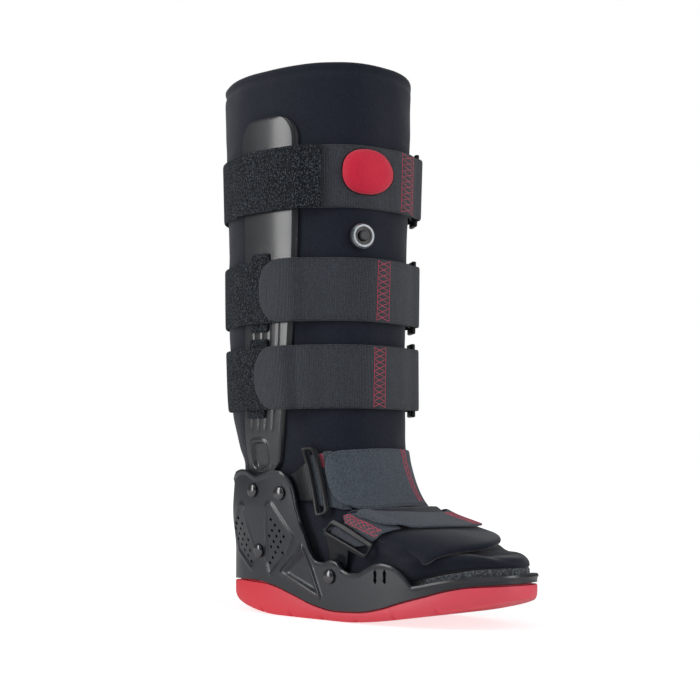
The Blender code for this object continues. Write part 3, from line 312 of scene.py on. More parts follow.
def between(rows, column, x):
    """Value of a table's column at x, on a smooth curve through the rows that never overshoots them."""
    xs = [row[0] for row in rows]
    ys = [row[column] for row in rows]
    if x <= xs[0]:
        return ys[0]
    if x >= xs[-1]:
        return ys[-1]
    slopes = [(ys[i + 1] - ys[i]) / (xs[i + 1] - xs[i]) for i in range(len(xs) - 1)]
    tangents = [slopes[0]]
    for before, after in zip(slopes, slopes[1:]):
        tangents.append(0.0 if before * after <= 0 else 2 * before * after / (before + after))
    tangents.append(slopes[-1])
    i = max(k for k in range(len(xs) - 1) if xs[k] <= x)
    step = xs[i + 1] - xs[i]
    t = (x - xs[i]) / step
    return ((2 * t ** 3 - 3 * t ** 2 + 1) * ys[i] + (t ** 3 - 2 * t ** 2 + t) * step * tangents[i]
            + (3 * t ** 2 - 2 * t ** 3) * ys[i + 1] + (t ** 3 - t ** 2) * step * tangents[i + 1])


def smooth_step(low, high, x):
    t = min(1.0, max(0.0, (x - low) / (high - low)))
    return t * t * (3 - 2 * t)


def span(first, last, count):
    return [first + (last - first) * i / (count - 1) for i in range(count)]


def section_rows():
    """Every section as (up, back, front, half_width, taper, fullness), in metres."""
    rows = []
    for up, back, front, half_width, taper, fullness in FOOT_SECTIONS:
        rows.append((PAD_TOP + up * (ANKLE_HEIGHT - PAD_TOP), SHELL_WALL + GAP + back * SOLE_LENGTH,
                     front * FOOT_END, half_width * HALF_FOOT, taper, fullness))
    for up, back, front, half_width, fullness in LEG_SECTIONS:
        rows.append((ANKLE_HEIGHT + up * (BOOT_HEIGHT - ANKLE_HEIGHT), LEG_AXIS + back * LEG_DEPTH,
                     LEG_AXIS + front * LEG_DEPTH, half_width * LEG_WIDTH, 0.0, fullness))
    return rows


SECTIONS = section_rows()
FOUND = {}


def section(up):
    if up not in FOUND:
        FOUND[up] = [between(SECTIONS, column, up) for column in range(1, 6)]
    return FOUND[up]


def power(value, exponent):
    return math.copysign(abs(value) ** exponent, value)


def skin(around, up):
    """Point of the surface at an angle round it, in degrees from the toe towards the wearer's right."""
    back, front, half_width, taper, fullness = section(up)
    middle, reach = (front + back) / 2, (front - back) / 2
    fullness -= TOE_ROUNDING * taper * max(0.0, math.cos(math.radians(around)))
    ahead = power(math.cos(math.radians(around)), 2 / fullness)
    aside = power(math.sin(math.radians(around)), 2 / fullness)
    return Vector((-half_width * (1 + taper * ahead) * aside, ORIGIN_FORWARD - middle - reach * ahead, up))


def outward(around, up):
    """Unit normal of the surface."""
    turn, climb = 0.4, 0.0008
    along = skin(around + turn, up) - skin(around - turn, up)
    rise = skin(around, up + climb) - skin(around, up - climb)
    return rise.cross(along).normalized()


def over(around, up, height):
    """Point at a height above the surface."""
    return skin(around, up) + outward(around, up) * height


def turn_where(place, forward, steps):
    """Angle from 0 to 180 degrees at which place(angle) lies at a distance forward of the heel."""
    low, high = 0.0, 180.0
    for _ in range(steps):
        middle = (low + high) / 2
        if forward_of(place(middle)) > forward:
            low = middle
        else:
            high = middle
    return (low + high) / 2


def around_at(forward, up, side=1):
    """Angle round the surface at a distance forward of the heel, on the wearer's right for side 1."""
    return side * turn_where(lambda angle: skin(angle, up), forward, 26)


def forward_of(point):
    return ORIGIN_FORWARD - point.y


def object_from(name, mesh):
    """An object for a mesh, with the look of the slot that its node has."""
    made = bpy.data.objects.new(name + "_piece", mesh)
    bpy.context.scene.collection.objects.link(made)
    if name in SLOTS:
        mesh.materials.clear()
        mesh.materials.append(LOOKS[SLOTS[name]])
    return made


def mesh_from(name, bm):
    mesh = bpy.data.meshes.new(name)
    bm.to_mesh(mesh)
    bm.free()
    return mesh


def sheet(name, columns, rows, place, thickness=0.0, grow=-1, closed=False):
    """A grid whose point (i, j) is place(i, j), made solid to one side of it."""
    bm = bmesh.new()
    bmesh.ops.create_grid(bm, x_segments=columns - 1, y_segments=rows - 1, size=1)
    for vert in bm.verts:
        i = round((vert.co.x + 1) / 2 * (columns - 1))
        j = round((vert.co.y + 1) / 2 * (rows - 1))
        vert.co = place(i, j)
    if closed:
        bmesh.ops.remove_doubles(bm, verts=bm.verts, dist=1e-6)
    made = object_from(name, mesh_from(name, bm))
    if thickness:
        solid = made.modifiers.new("wall", "SOLIDIFY")
        solid.thickness = thickness
        solid.offset = grow
        solid.use_even_offset = True
    return made


def loft(name, rings):
    """A solid through rings of equal point counts, capped at both ends."""
    bm = bmesh.new()
    loops = [[bm.verts.new(point) for point in ring] for ring in rings]
    for first, second in zip(loops, loops[1:]):
        for k in range(len(first)):
            after = (k + 1) % len(first)
            bm.faces.new((first[k], first[after], second[after], second[k]))
    bm.faces.new(loops[0][::-1])
    bm.faces.new(loops[-1])
    bmesh.ops.recalc_face_normals(bm, faces=bm.faces)
    return object_from(name, mesh_from(name, bm))


def settle(made):
    """Makes an object's modifiers part of its mesh."""
    bpy.context.view_layer.update()
    graph = bpy.context.evaluated_depsgraph_get()
    mesh = bpy.data.meshes.new_from_object(made.evaluated_get(graph), depsgraph=graph)
    made.modifiers.clear()
    made.data = mesh
    return made


def finish_piece(made, node, levels=0, angle=180, body="boot"):
    """Rounds a piece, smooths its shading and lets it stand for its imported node."""
    if levels:
        rounder = made.modifiers.new("round", "SUBSURF")
        rounder.levels = rounder.render_levels = levels
    settle(made)
    made.data.transform(made.matrix_world)
    made.matrix_world = Matrix.Identity(4)
    made.data.shade_smooth()
    if angle < 180:
        made.data.set_sharp_from_angle(angle=math.radians(angle))
    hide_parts(node)
    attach(made, body)
    return made


def beside(around, up, height):
    """Point at a level distance out from the surface, at exactly the height up."""
    along = skin(around + 0.4, up) - skin(around - 0.4, up)
    out = Vector((0, 0, 1)).cross(along).normalized()
    return skin(around, up) + out * height


def shell_height(around):
    """Distance from the liner to the shell's inner face: the pocket closes at the heel and toe."""
    return GAP + POCKET * smooth_step(0.05, 0.75, abs(math.sin(math.radians(around))))


def outline(around, inset=0.0):
    """Point of the sole's outline, inset from the shell's outer face."""
    point = beside(around, PAD_TOP, shell_height(around) + SHELL_WALL - inset)
    point.z = 0
    return point


def plan_table(inset):
    """Outline as rows of (forward, half width), from heel to toe. The inset None is the pads' own outline."""
    angles = [180 - 0.5 * k for k in range(361)]
    if inset is None:
        points = [beside(angle, PAD_TOP, -FIT) for angle in angles]
    else:
        points = [outline(angle, inset) for angle in angles]
    return [(forward_of(point), abs(point.x)) for point in points]


PLANS = {}


def half_width(forward, inset=0.0):
    """Half the width of the outline at a distance forward of the heel."""
    if inset not in PLANS:
        PLANS[inset] = plan_table(inset)
    rows = PLANS[inset]
    if forward <= rows[0][0] or forward >= rows[-1][0]:
        return 0.0
    k = next(k for k in range(1, len(rows)) if rows[k][0] >= forward)
    (f0, h0), (f1, h1) = rows[k - 1], rows[k]
    return h0 + (h1 - h0) * (forward - f0) / (f1 - f0)


def share_forward(point):
    return min(1.0, max(0.0, forward_of(point) / SOLE_LENGTH))


def seam_up(share):
    return between(SEAM_LINE, 1, share) * SOLE_THICKNESS


def footbed_up(share):
    return between(FOOTBED_LINE, 1, share) * SOLE_THICKNESS


def sole_bottom(share):
    heel = HEEL_RISE * max(0.0, (0.27 - share) / 0.27) ** 1.7
    toe = TOE_SPRING * max(0.0, (share - 0.53) / 0.47) ** 1.6
    return heel + toe


def stations(inset, count, extra=(), clear=0.0):
    """Distances forward, close together at the heel and toe, with the extra ones kept clear of others."""
    first, last = inset + 0.0004, SOLE_LENGTH - inset - 0.0004
    found = [first + (last - first) * (1 - math.cos(math.pi * k / (count - 1))) / 2 for k in range(count)]
    found = [x for x in found if all(abs(x - other) > clear for other in extra)]
    return sorted(found + list(extra))


rubber = Finish("red_rubber", 0.46, Specular_IOR_Level=0.4)
place = rubber.node("TexCoord", output="Object")
toeward = rubber.node("SeparateXYZ", None, {"Vector": place}, output=1) * -3.2 + 0.45
toeward = toeward.math("MAXIMUM", toeward, 0.0).math("MINIMUM", toeward, 1.0)
rubber.colour(toeward, (0.92, 0.055, 0.075), (0.95, 0.105, 0.150))
rubber.bump(rubber.noise(900), 0.00012)


def build_outsole():
    """Red rubber rocker sole: tread, side walls up to the seam, and the core that fills the shell's skirt."""
    inner = SHELL_WALL + CURVED_FIT
    grooves = [ORIGIN_FORWARD + (k + 0.5) * TREAD_PITCH for k in range(-3, 4)]
    extra = [groove + step * TREAD_GROOVE for groove in grooves for step in (-1, 0, 1)]
    extra += [inner + 0.0001, inner + 0.0009, SOLE_LENGTH - inner - 0.0009, SOLE_LENGTH - inner - 0.0001]
    sections = []
    for forward in stations(0, 90, extra, 0.0012):
        share = forward / SOLE_LENGTH
        side, core = half_width(forward), half_width(forward, inner)
        bottom = sole_bottom(share)
        if any(abs(forward - groove) < 0.0001 for groove in grooves):
            bottom += TREAD_DEPTH
        top = footbed_up(share) - FOOTBED_THICKNESS - CURVED_FIT
        seam = min(seam_up(share) - CURVED_FIT, top - CURVED_FIT)
        if core < 0.006:
            core, top = min(core, side * 0.5), seam
        bevel = min(SOLE_BEVEL, side * 0.4, (seam - bottom) * 0.5)
        round_up = [(side - bevel * (1 - math.sin(turn)), bottom + bevel * 1.5 * (1 - math.cos(turn)))
                    for turn in span(0, math.pi / 2, 7)]
        half = [*round_up, (side, seam - 0.001), (side - 0.0006, seam), (core, seam), (core, top)]
        y = ORIGIN_FORWARD - forward
        sections.append([Vector((x, y, z)) for x, z in half]
                        + [Vector((-x, y, z)) for x, z in reversed(half)])
    return loft("outsole", sections)


finish_piece(build_outsole(), "outsole", angle=38)


# Shell: one moulding of dark charcoal plastic, riveted to the struts. It has a glossy lip on its wavy edge,
# ribs round two fields of square vents, a framed wedge recess and two waisted slots near the toe.

TOP_EDGE = ((0.0, 0.83), (0.05, 0.87), (0.10, 0.94), (0.162, 0.97), (0.224, 0.925), (0.285, 0.965),
            (0.315, 0.960), (0.345, 0.920), (0.362, 0.86), (0.379, 0.735), (0.405, 0.56), (0.424, 0.43),
            (0.445, 0.377), (0.470, 0.371), (0.495, 0.388),
            (0.515, 0.381), (0.540, 0.330), (0.567, 0.313), (0.592, 0.315), (0.620, 0.344), (0.650, 0.377),
            (0.675, 0.386), (0.705, 0.375), (0.730, 0.344), (0.752, 0.297), (0.770, 0.251))
RIM_START = 0.785
VENT_FIELDS = (((0.147, 0.70), (0.098, 0.55), (0.104, 0.43), (0.165, 0.33), (0.180, 0.37), (0.161, 0.53)),
               ((0.280, 0.71), (0.351, 0.52), (0.314, 0.42), (0.257, 0.30), (0.249, 0.35), (0.266, 0.54)))
VENT_PITCH = 0.0086
VENT_RADIUS = 0.0016
WEDGE_CORNERS = ((0.395, 0.465), (0.301, 0.286), (0.455, 0.150))
WEDGE_DEPTH = 0.0016
WEDGE_FRAME = 0.0013
LIP_HEIGHT = 0.0011
RIB_HEIGHT = 0.0011
SLOT_CENTRES = ((0.654, 0.303), (0.685, 0.305))
SLOT_SIZE = (0.0034, 0.0110)
STRUT_RIVETS = {"upper": (0.214, 0.831), "lower": (0.212, 0.424)}
ANKLE_RIVET = (0.321, 0.814)
FOREFOOT_RIVET = (0.493, 0.285)
RIVET_HEAD = 0.0056
RIVET_DOME = 0.0026
RIVET_SHANK = 0.0024
RIVET_DEPTH = 0.0066
PUNCH_DEPTH = 0.007
PUNCH_ABOVE = 0.004
HOLE_DEPTH = 0.0105
VENT_START = (0.0460, 0.0236)
HEEL_BACK = 0.028

plastic = Finish("shell_plastic", 0.30, Specular_IOR_Level=0.6, Coat_Weight=0.15, Coat_Roughness=0.15)
plastic.colour(plastic.noise(14), (0.017, 0.020, 0.026), (0.025, 0.029, 0.037))
plastic.rough(plastic.noise(60) * 0.12 + 0.24)
plastic.bump(plastic.noise(700, 2), 0.00006)


def facing(point, normal, up=Vector((0, 0, 1))):
    """Matrix at point whose Z is normal and whose Y leans towards up."""
    z = normal.normalized()
    x = up.cross(z).normalized()
    return Matrix.Translation(point) @ Matrix((x, z.cross(x), z)).transposed().to_4x4()


def edge_up(share):
    """Height of the shell's top edge, and of the rim that runs on round the toe."""
    if share > RIM_START:
        return footbed_up(share) + RIM_HEIGHT
    wave = between(TOP_EDGE, 1, share) * SHELL_HEIGHT
    return wave + (footbed_up(share) + RIM_HEIGHT - wave) * smooth_step(0.75, RIM_START, share)


def wall(around, up, height):
    """Point of the shell's wall above a place of its outline: upright at the sides, leaning at the heel."""
    forward = forward_of(outline(around))
    share = forward / SOLE_LENGTH
    upright = smooth_step(0.06, 0.16, share) * smooth_step(PAD_TOP - 0.005, PAD_TOP + 0.010, up)
    side = 1 if math.sin(math.radians(around)) >= 0 else -1
    turned_to = around_at(forward, up, side) if upright else around
    here = around + (turned_to - around) * upright
    return beside(here, up, shell_height(here) + height)


def around_on_outline(forward):
    """Angle round the outline at a distance forward of the heel, on the wearer's right."""
    return turn_where(outline, forward, 40)


def on_shell(share, up, height=0.0):
    """Point above the shell's outer face on the wearer's right, and the way out of it."""
    around = around_on_outline(share * SOLE_LENGTH)
    point = wall(around, up, SHELL_WALL + height)
    ahead = wall(around - 0.5, up, SHELL_WALL) - wall(around + 0.5, up, SHELL_WALL)
    above = wall(around, up + 0.001, SHELL_WALL) - wall(around, up - 0.001, SHELL_WALL)
    out = ahead.cross(above).normalized()
    return point, out if out.x < 0 else -out


def mirror_x(points):
    return [Vector((-p.x, p.y, p.z)) for p in points]


def prism(bm, lower, upper):
    """Closed prism between two loops of points."""
    loops = [[bm.verts.new(point) for point in loop] for loop in (lower, upper)]
    count = len(lower)
    for k in range(count):
        after = (k + 1) % count
        bm.faces.new((loops[0][k], loops[0][after], loops[1][after], loops[1][k]))
    bm.faces.new(loops[0][::-1])
    bm.faces.new(loops[1])


def cutter(name, pairs):
    """One cutter of prisms, each between two loops of points, on both sides of the boot."""
    bm = bmesh.new()
    for lower, upper in pairs:
        prism(bm, lower, upper)
        prism(bm, mirror_x(lower), mirror_x(upper))
    bmesh.ops.recalc_face_normals(bm, faces=bm.faces)
    return object_from(name, mesh_from(name, bm))


def punches(name, shapes):
    """Cutter through the shell's wall, from loops of (share, up)."""
    pairs = []
    for loop in shapes:
        placed = [on_shell(share, up) for share, up in loop]
        pairs.append(([point - out * PUNCH_DEPTH for point, out in placed],
                      [point + out * PUNCH_ABOVE for point, out in placed]))
    return cutter(name, pairs)


def inside(corners, x, y):
    """Whether a point is inside a polygon."""
    found = False
    for (x0, y0), (x1, y1) in zip(corners, corners[1:] + corners[:1]):
        if (y0 > y) != (y1 > y) and x < x0 + (y - y0) * (x1 - x0) / (y1 - y0):
            found = not found
    return found


def vent_shapes():
    shapes = []
    reach = VENT_RADIUS / SOLE_LENGTH
    for field in VENT_FIELDS:
        corners = [(share, up * SHELL_HEIGHT) for share, up in field]
        for row in range(24):
            up = VENT_START[1] + row * VENT_PITCH * 0.5
            for column in range(24):
                share = VENT_START[0] + (column + 0.5 * (row % 2)) * VENT_PITCH / SOLE_LENGTH
                if inside(corners, share, up):
                    shapes.append([(share - reach, up), (share, up - VENT_RADIUS),
                                   (share + reach, up), (share, up + VENT_RADIUS)])
    return shapes


def slot_shapes():
    """Two upright slots, waisted at half their height."""
    shapes = []
    for share, up in SLOT_CENTRES:
        half, tall, centre = SLOT_SIZE[0] / 2 / SOLE_LENGTH, SLOT_SIZE[1] / 2, up * SHELL_HEIGHT
        shapes.append([(share - half, centre - tall * 0.6), (share, centre - tall),
                       (share + half, centre - tall * 0.6), (share + half * 0.75, centre),
                       (share + half, centre + tall * 0.6), (share, centre + tall),
                       (share - half, centre + tall * 0.6), (share - half * 0.75, centre)])
    return shapes


def rivet_holes(name, places):
    """Cutter of straight round holes for rivets, on both sides."""
    reach = RIVET_SHANK + 1.3 * FIT
    turns = [math.pi * k / 4 for k in range(8)]
    pairs = []
    for share, up in places:
        straight = facing(*on_shell(share, up * SHELL_HEIGHT))
        pairs.append([[straight @ Vector((reach * math.cos(turn), reach * math.sin(turn), height))
                       for turn in turns] for height in (-HOLE_DEPTH, PUNCH_ABOVE)])
    return cutter(name, pairs)


def cut(target, cutter):
    """Cuts one object out of another and clears it away."""
    change = target.modifiers.new("cut", "BOOLEAN")
    change.operation, change.solver, change.object = "DIFFERENCE", "MANIFOLD", cutter
    settle(target)
    bpy.data.objects.remove(cutter)


def join(target, other):
    """Adds one object's mesh to another's and clears it away."""
    bm = bmesh.new()
    bm.from_mesh(target.data)
    bm.from_mesh(other.data)
    bm.to_mesh(target.data)
    bm.free()
    bpy.data.objects.remove(other)


def to_outline(corners, x, y):
    """Distance from a point to a polygon's outline."""
    best = 1.0
    for (x0, y0), (x1, y1) in zip(corners, corners[1:] + corners[:1]):
        run = (x1 - x0) ** 2 + (y1 - y0) ** 2
        t = max(0.0, min(1.0, ((x - x0) * (x1 - x0) + (y - y0) * (y1 - y0)) / run))
        best = min(best, math.hypot(x - x0 - t * (x1 - x0), y - y0 - t * (y1 - y0)))
    return best


def shell_relief(point):
    """How far the moulding stands out at a point: lip, vent ribs and the wedge's frame and recess."""
    share, up = share_forward(point), point.z
    below = edge_up(share) - up
    height = LIP_HEIGHT * max(0.0, 1 - abs(below - 0.0012) / 0.0020)
    if share > RIM_START or abs(point.x) < HEEL_BACK:
        return height
    for field in VENT_FIELDS:
        corners = [(s * SOLE_LENGTH, u * SHELL_HEIGHT) for s, u in field]
        near = to_outline(corners, share * SOLE_LENGTH, up) - 0.0035
        if not inside(corners, share * SOLE_LENGTH, up):
            height += RIB_HEIGHT * math.exp(-(near / 0.0013) ** 2)
    corners = [(s * SOLE_LENGTH, u * SHELL_HEIGHT) for s, u in WEDGE_CORNERS]
    near = to_outline(corners, share * SOLE_LENGTH, up)
    height += WEDGE_FRAME * math.exp(-(near / 0.0016) ** 2)
    if inside(corners, share * SOLE_LENGTH, up):
        height -= WEDGE_DEPTH * smooth_step(0.0010, 0.0042, near)
    return height


def displace(verts, height):
    """Moves vertices along their normals by height(place), all measured before any of them moves."""
    moves = [(vert, vert.normal * height(vert.co)) for vert in verts]
    for vert, move in moves:
        vert.co += move


def relieve(made, relief):
    """Moves the outer side of a settled sheet by a relief along its normals."""
    count = len(made.data.vertices)
    settle(made)
    sides = list(made.data.vertices)[:count], list(made.data.vertices)[count:]
    outer = max(sides, key=lambda side: sum(abs(vert.co.x) for vert in side))
    displace(outer, relief)


def build_shell():
    """Wall round the heel and sides, the rim round the toe, and the footbed inside."""
    sides = [around_on_outline(forward) for forward in span(0.266, 0.014, 235)]
    half = span(1.0, sides[0] - 2, 14) + sides + span(sides[-1] + 2, 179, 20)
    placed = {}
    angles = [-angle for angle in reversed(half)] + half
    levels = span(0, 1, 70)

    def place(i, j):
        angle = angles[i % len(angles)]
        if (abs(angle), j) not in placed:
            share = share_forward(outline(abs(angle)))
            low, high = seam_up(share), edge_up(share)
            placed[abs(angle), j] = wall(abs(angle), low + (high - low) * levels[j], 0)
        point = placed[abs(angle), j].copy()
        point.x *= 1 if angle > 0 else -1
        return point

    shell = sheet("shell", len(angles) + 1, len(levels), place, SHELL_WALL, -1, closed=True)
    relieve(shell, shell_relief)
    cut(shell, punches("vents", vent_shapes() + slot_shapes()))
    cut(shell, rivet_holes("shell_holes", [*STRUT_RIVETS.values(), ANKLE_RIVET, FOREFOOT_RIVET]))
    lap = SHELL_WALL - 0.0012
    rings = []
    for forward in stations(lap, 60):
        half, top = half_width(forward, lap), footbed_up(forward / SOLE_LENGTH)
        y = ORIGIN_FORWARD - forward
        rings.append([Vector((half, y, top - FOOTBED_THICKNESS)), Vector((half, y, top)),
                      Vector((-half, y, top)), Vector((-half, y, top - FOOTBED_THICKNESS))])
    join(shell, loft("footbed", rings))
    return shell


finish_piece(build_shell(), "shell", angle=55)


# Liner, its outer flap and the felt layer: soft foam faced with dark navy knit, rolled and hemmed at the cuff
# and pulled into shallow folds by the straps. The felt is sewn under the toes.

LINER_WALL = 0.008
FLAP_THICKNESS = 0.005
FLAP_GAP = 0.0014
FLAP_TUCK = 0.0042
FELT_EDGE = 0.0015
TOE_TOP = 0.059
FOLD_SIZE = 0.0009
FLAP_FOLD_SIZE = 0.0007
FLAP_SWELL = 0.0003
SIDE_SWELL = 0.0052
HEM_DEPTH = 0.0017
HEM_BELOW = 0.0062
HEM_WIDTH = 0.0013
CREASE_DEPTH = 0.0024
CREASE_RIM = 0.0016
CUFF_LINE = ((-180, 0.010), (-90, 0.019), (-45, 0.017), (-18, 0.005), (20, 0.0), (100, 0.0), (135, 0.006),
             (180, 0.010))
FLAP_EDGES = ((-44, 0.0600, 0.0800), (-30, 0.0600, 0.0810), (-7, 0.0580, 0.0810), (20, 0.0545, 0.0810),
              (35, 0.0530, 0.0810), (50, 0.0500, 0.0810), (55, 0.0470, 0.0800), (59.5, 0.0450, 0.0790))

knit = Finish("liner_foam", 0.86, Sheen_Weight=0.35, Sheen_Roughness=0.45, Specular_IOR_Level=0.25)
knit.colour(knit.noise(420, 4), (0.005, 0.007, 0.015), (0.015, 0.019, 0.036))
knit.bump(knit.noise(1500, 2) + knit.noise(260) * 0.6, 0.00022)
felt = Finish("felt", 0.95, Sheen_Weight=0.4, Specular_IOR_Level=0.2)
felt.colour((felt.noise(800, 5) - 0.48) * 5.0, (0.045, 0.052, 0.062), (0.200, 0.222, 0.240))
felt.bump(felt.noise(1100, 4), 0.0005)


def pad_top(share):
    return footbed_up(share) + GAP + FELT_THICKNESS


def build_felt():
    """Felt layer lying on the footbed."""
    rings = []
    for forward in stations(SHELL_WALL + GAP + FIT, 60):
        share = forward / SOLE_LENGTH
        y, half = ORIGIN_FORWARD - forward, half_width(forward, None)
        low, top = footbed_up(share) + CURVED_FIT, pad_top(share)
        inset = FELT_EDGE * min(1, half / 0.01)
        side = [(half, low), (half, top - FELT_EDGE), (half - inset, top)]
        rings.append([Vector((x, y, z)) for x, z in side] + [Vector((-x, y, z)) for x, z in reversed(side)])
    return loft("felt_pad", rings)


def build_liner():
    """Padded sleeve, open at the cuff and at the toes, closed underneath."""
    angles = span(1.5, 178.5, 60)
    angles = [-angle for angle in reversed(angles)] + angles
    opening = FELT_THICKNESS + SOLE_THICKNESS * 1.33 + LINER_SOLE_THICKNESS + GAP
    levels = [*span(0.040, TOE_TOP, 11)[:-1], *span(TOE_TOP, 0.135, 30),
              *span(0.139, 0.41, 62), *span(0.4135, BOOT_HEIGHT, 7)]

    def place(i, j):
        angle = angles[i % len(angles)]
        crest = BOOT_HEIGHT * (1 - between(CUFF_LINE, 1, angle))
        stretch = smooth_step(0.38, BOOT_HEIGHT, levels[j])
        up = levels[j] + (crest - BOOT_HEIGHT) * stretch
        if j < 10:
            base = pad_top(share_forward(outline(abs(angle)))) - 0.0005
            up = base + (TOE_TOP - base) * j / 10
        return skin(angle, up)

    count = len(angles)
    liner = sheet("liner", count + 1, len(levels), place, LINER_WALL, 1, closed=True)
    bm = bmesh.new()
    bm.from_mesh(liner.data)
    bm.verts.ensure_lookup_table()
    seam = [edge for edge in bm.edges if edge.is_boundary
            and max(v.co.z for v in edge.verts) < opening - 0.0002]
    ladder = sorted({v for edge in seam for v in edge.verts}, key=lambda v: (round(v.co.y, 5), v.co.x))
    pairs = [(ladder[k], ladder[k + 1]) for k in range(0, len(ladder), 2)]
    for (a, b), (c, d) in zip(pairs, pairs[1:]):
        bm.faces.new((a, b, d, c))
    bmesh.ops.recalc_face_normals(bm, faces=bm.faces)
    bm.to_mesh(liner.data)
    bm.free()
    liner.modifiers["wall"].offset = -1
    return liner


def build_flap():
    """Outer flap of the liner over the instep."""
    angles = span(FLAP_EDGES[0][0], FLAP_EDGES[-1][0], 49)

    def place(i, j):
        low, high = between(FLAP_EDGES, 1, angles[i]), between(FLAP_EDGES, 2, angles[i])
        return over(angles[i], low + (high - low) * j / 13,
                    FLAP_GAP - FLAP_TUCK * smooth_step(53, 59.5, angles[i]))

    return sheet("upper_flap", len(angles), 14, place, FLAP_THICKNESS, -1)


def folds(point, size):
    """Soft unevenness of padded cloth, in metres."""
    return size * (noise.noise(point * 26) + 0.5 * noise.noise(point * 61))


def hem(point):
    """Groove of the hem's stitching below the cuff."""
    turn = math.degrees(math.atan2(-point.x, ORIGIN_FORWARD - LEG_AXIS - point.y))
    crest = BOOT_HEIGHT * (1 - between(CUFF_LINE, 1, turn))
    below = crest - point.z
    return -HEM_DEPTH * math.exp(-((below - HEM_BELOW) / HEM_WIDTH) ** 2) if below < 0.02 else 0.0


def toe_fold(point):
    """Deep crease round the toes between the lower layer and the one above it."""
    ahead = smooth_step(0.60, 0.74, share_forward(point))
    crease = 0.0530 + 0.0030 * math.sin(share_forward(point) * 16)
    slant = 0.0485 + 0.10 * (0.97 - share_forward(point))
    return ahead * (CREASE_RIM * math.exp(-((point.z - crease + 0.0050) / 0.0030) ** 2)
                    - CREASE_DEPTH * math.exp(-((point.z - crease) / 0.0018) ** 2)
                    - CREASE_RIM * math.exp(-((point.z - slant) / 0.0012) ** 2))


def beside_flap(point):
    """Swell of the side that carries the flap's surface on, behind its rear edge."""
    behind = (0.745 - (point.z - 0.045) * 2.6 - share_forward(point)) * SOLE_LENGTH
    return (SIDE_SWELL * math.exp(-(max(0.0, behind) / 0.014) ** 2) * (1 - smooth_step(0.056, 0.064, point.z))
            * (1 - smooth_step(0.76, 0.80, share_forward(point))))


felt_pad = build_felt()
liner = build_liner()
count = len(liner.data.vertices)
settle(liner)
faces = list(liner.data.vertices)
for outer, inner in zip(faces[:count], faces[count:]):
    step = inner.co - outer.co
    in_toe = smooth_step(0.58, 0.76, share_forward(outer.co)) * (1 - smooth_step(0.09, 0.12, outer.co.z))
    thin = 1 - 0.8 * in_toe
    inner.co = outer.co + step.normalized() * min(step.length, LINER_WALL) * thin
displace(faces[:count], lambda at: folds(at, FOLD_SIZE) + hem(at) + toe_fold(at) + beside_flap(at))
finish_piece(liner, "liner", 1)
finish_piece(felt_pad, "felt_pad", angle=50)
flap = build_flap()
settle(flap)
for vert in flap.data.vertices:
    vert.co += vert.normal * (folds(vert.co, FLAP_FOLD_SIZE) + FLAP_SWELL)
finish_piece(flap, "upper_flap", 2)


# Struts: flat glossy plastic bars riveted inside the shell's top edge. They carry upright flutes and a window
# recess with a bright rim. Pile patches on them keep the straps in place.

STRUT_THICKNESS = 0.0034
STRUT_WIDTH = 0.060
STRUT_TOP = 0.395
STRUT_FOOT = 0.042
STRUT_CORNER = 0.020
WINDOW_WIDTH = 0.020
WINDOW_HEIGHT = 0.024
WINDOW_DEPTH = 0.0021
WINDOW_RIM = 0.0009
FLUTE_DEPTH = 0.00035
STRUT_BEVEL = 0.0012
WINDOW_CENTRE = (0.228, 0.1255)
PATCH_THICKNESS = 0.0012
PATCH_WIDTH = 0.021
PATCH_PROUD = 0.0065
STRAP_WIDTH = 0.050
STRAP_THICKNESS = 0.0020
BAND_THICKNESS = 0.0028
STRAP_HEIGHTS = {"top": 0.343, "middle": 0.2545, "lower": 0.1865}
STRUT_LINE = ((0.00, -0.128, 0.20), (0.05, -0.128, 0.30), (0.14, -0.124, 0.34), (0.180, -0.095, 0.52),
              (0.225, -0.050, 0.68), (0.29, -0.032, 0.76), (0.45, 0.005, 0.84), (0.73, 0.037, 0.94),
              (0.90, 0.040, 0.99), (1.00, 0.040, 1.00))

gloss = Finish("strut_plastic", 0.26, Specular_IOR_Level=0.6, Coat_Weight=0.2, Coat_Roughness=0.12)
gloss.colour(gloss.noise(9), (0.028, 0.030, 0.034), (0.040, 0.042, 0.047))
gloss.rough(gloss.noise(45) * 0.12 + 0.20)
gloss.bump(gloss.noise(300, 2), 0.00005)
pile = Finish("loop_pile", 0.95, Sheen_Weight=0.1, Specular_IOR_Level=0.15)
curl = pile.noise(820, 5)
pile.colour((curl - 0.48) * 5.0, (0.005, 0.007, 0.011), (0.105, 0.128, 0.155))
pile.bump(curl + pile.noise(1400, 3) * 0.4, 0.0022)


def strut_span(up):
    """Rear and front edges of a strut at a height, forward of the heel."""
    share = (up - STRUT_FOOT) / (STRUT_TOP - STRUT_FOOT)
    centre = LEG_AXIS + between(STRUT_LINE, 1, share) * LEG_DEPTH
    width = between(STRUT_LINE, 2, share) * STRUT_WIDTH
    drop = STRUT_TOP - up
    if drop < STRUT_CORNER:
        width -= 2 * (STRUT_CORNER - math.sqrt(max(0.0, STRUT_CORNER ** 2 - (STRUT_CORNER - drop) ** 2)))
    return centre - width / 2, centre + width / 2


def cover(around, up):
    """How far a strap round the leg has risen over a strut: 0 clear of it, 1 on it."""
    forward = forward_of(skin(around, up))
    rear, front = strut_span(min(up, STRUT_TOP - STRUT_CORNER))
    entering = smooth_step(rear - 0.010, rear - 0.003, forward)
    return entering * (1 - smooth_step(front + 0.003, front + 0.009, forward))


def finish_pair(made, node, levels=0, angle=180):
    """Finishes a piece on the wearer's right, after a copy of it mirrored to the left."""
    mesh = made.data.copy()
    mesh.transform(Matrix.Diagonal((-1, 1, 1, 1)))
    mesh.flip_normals()
    finish_piece(object_from(node + "_left", mesh), node + "_left", levels, angle)
    finish_piece(made, node + "_right", levels, angle)


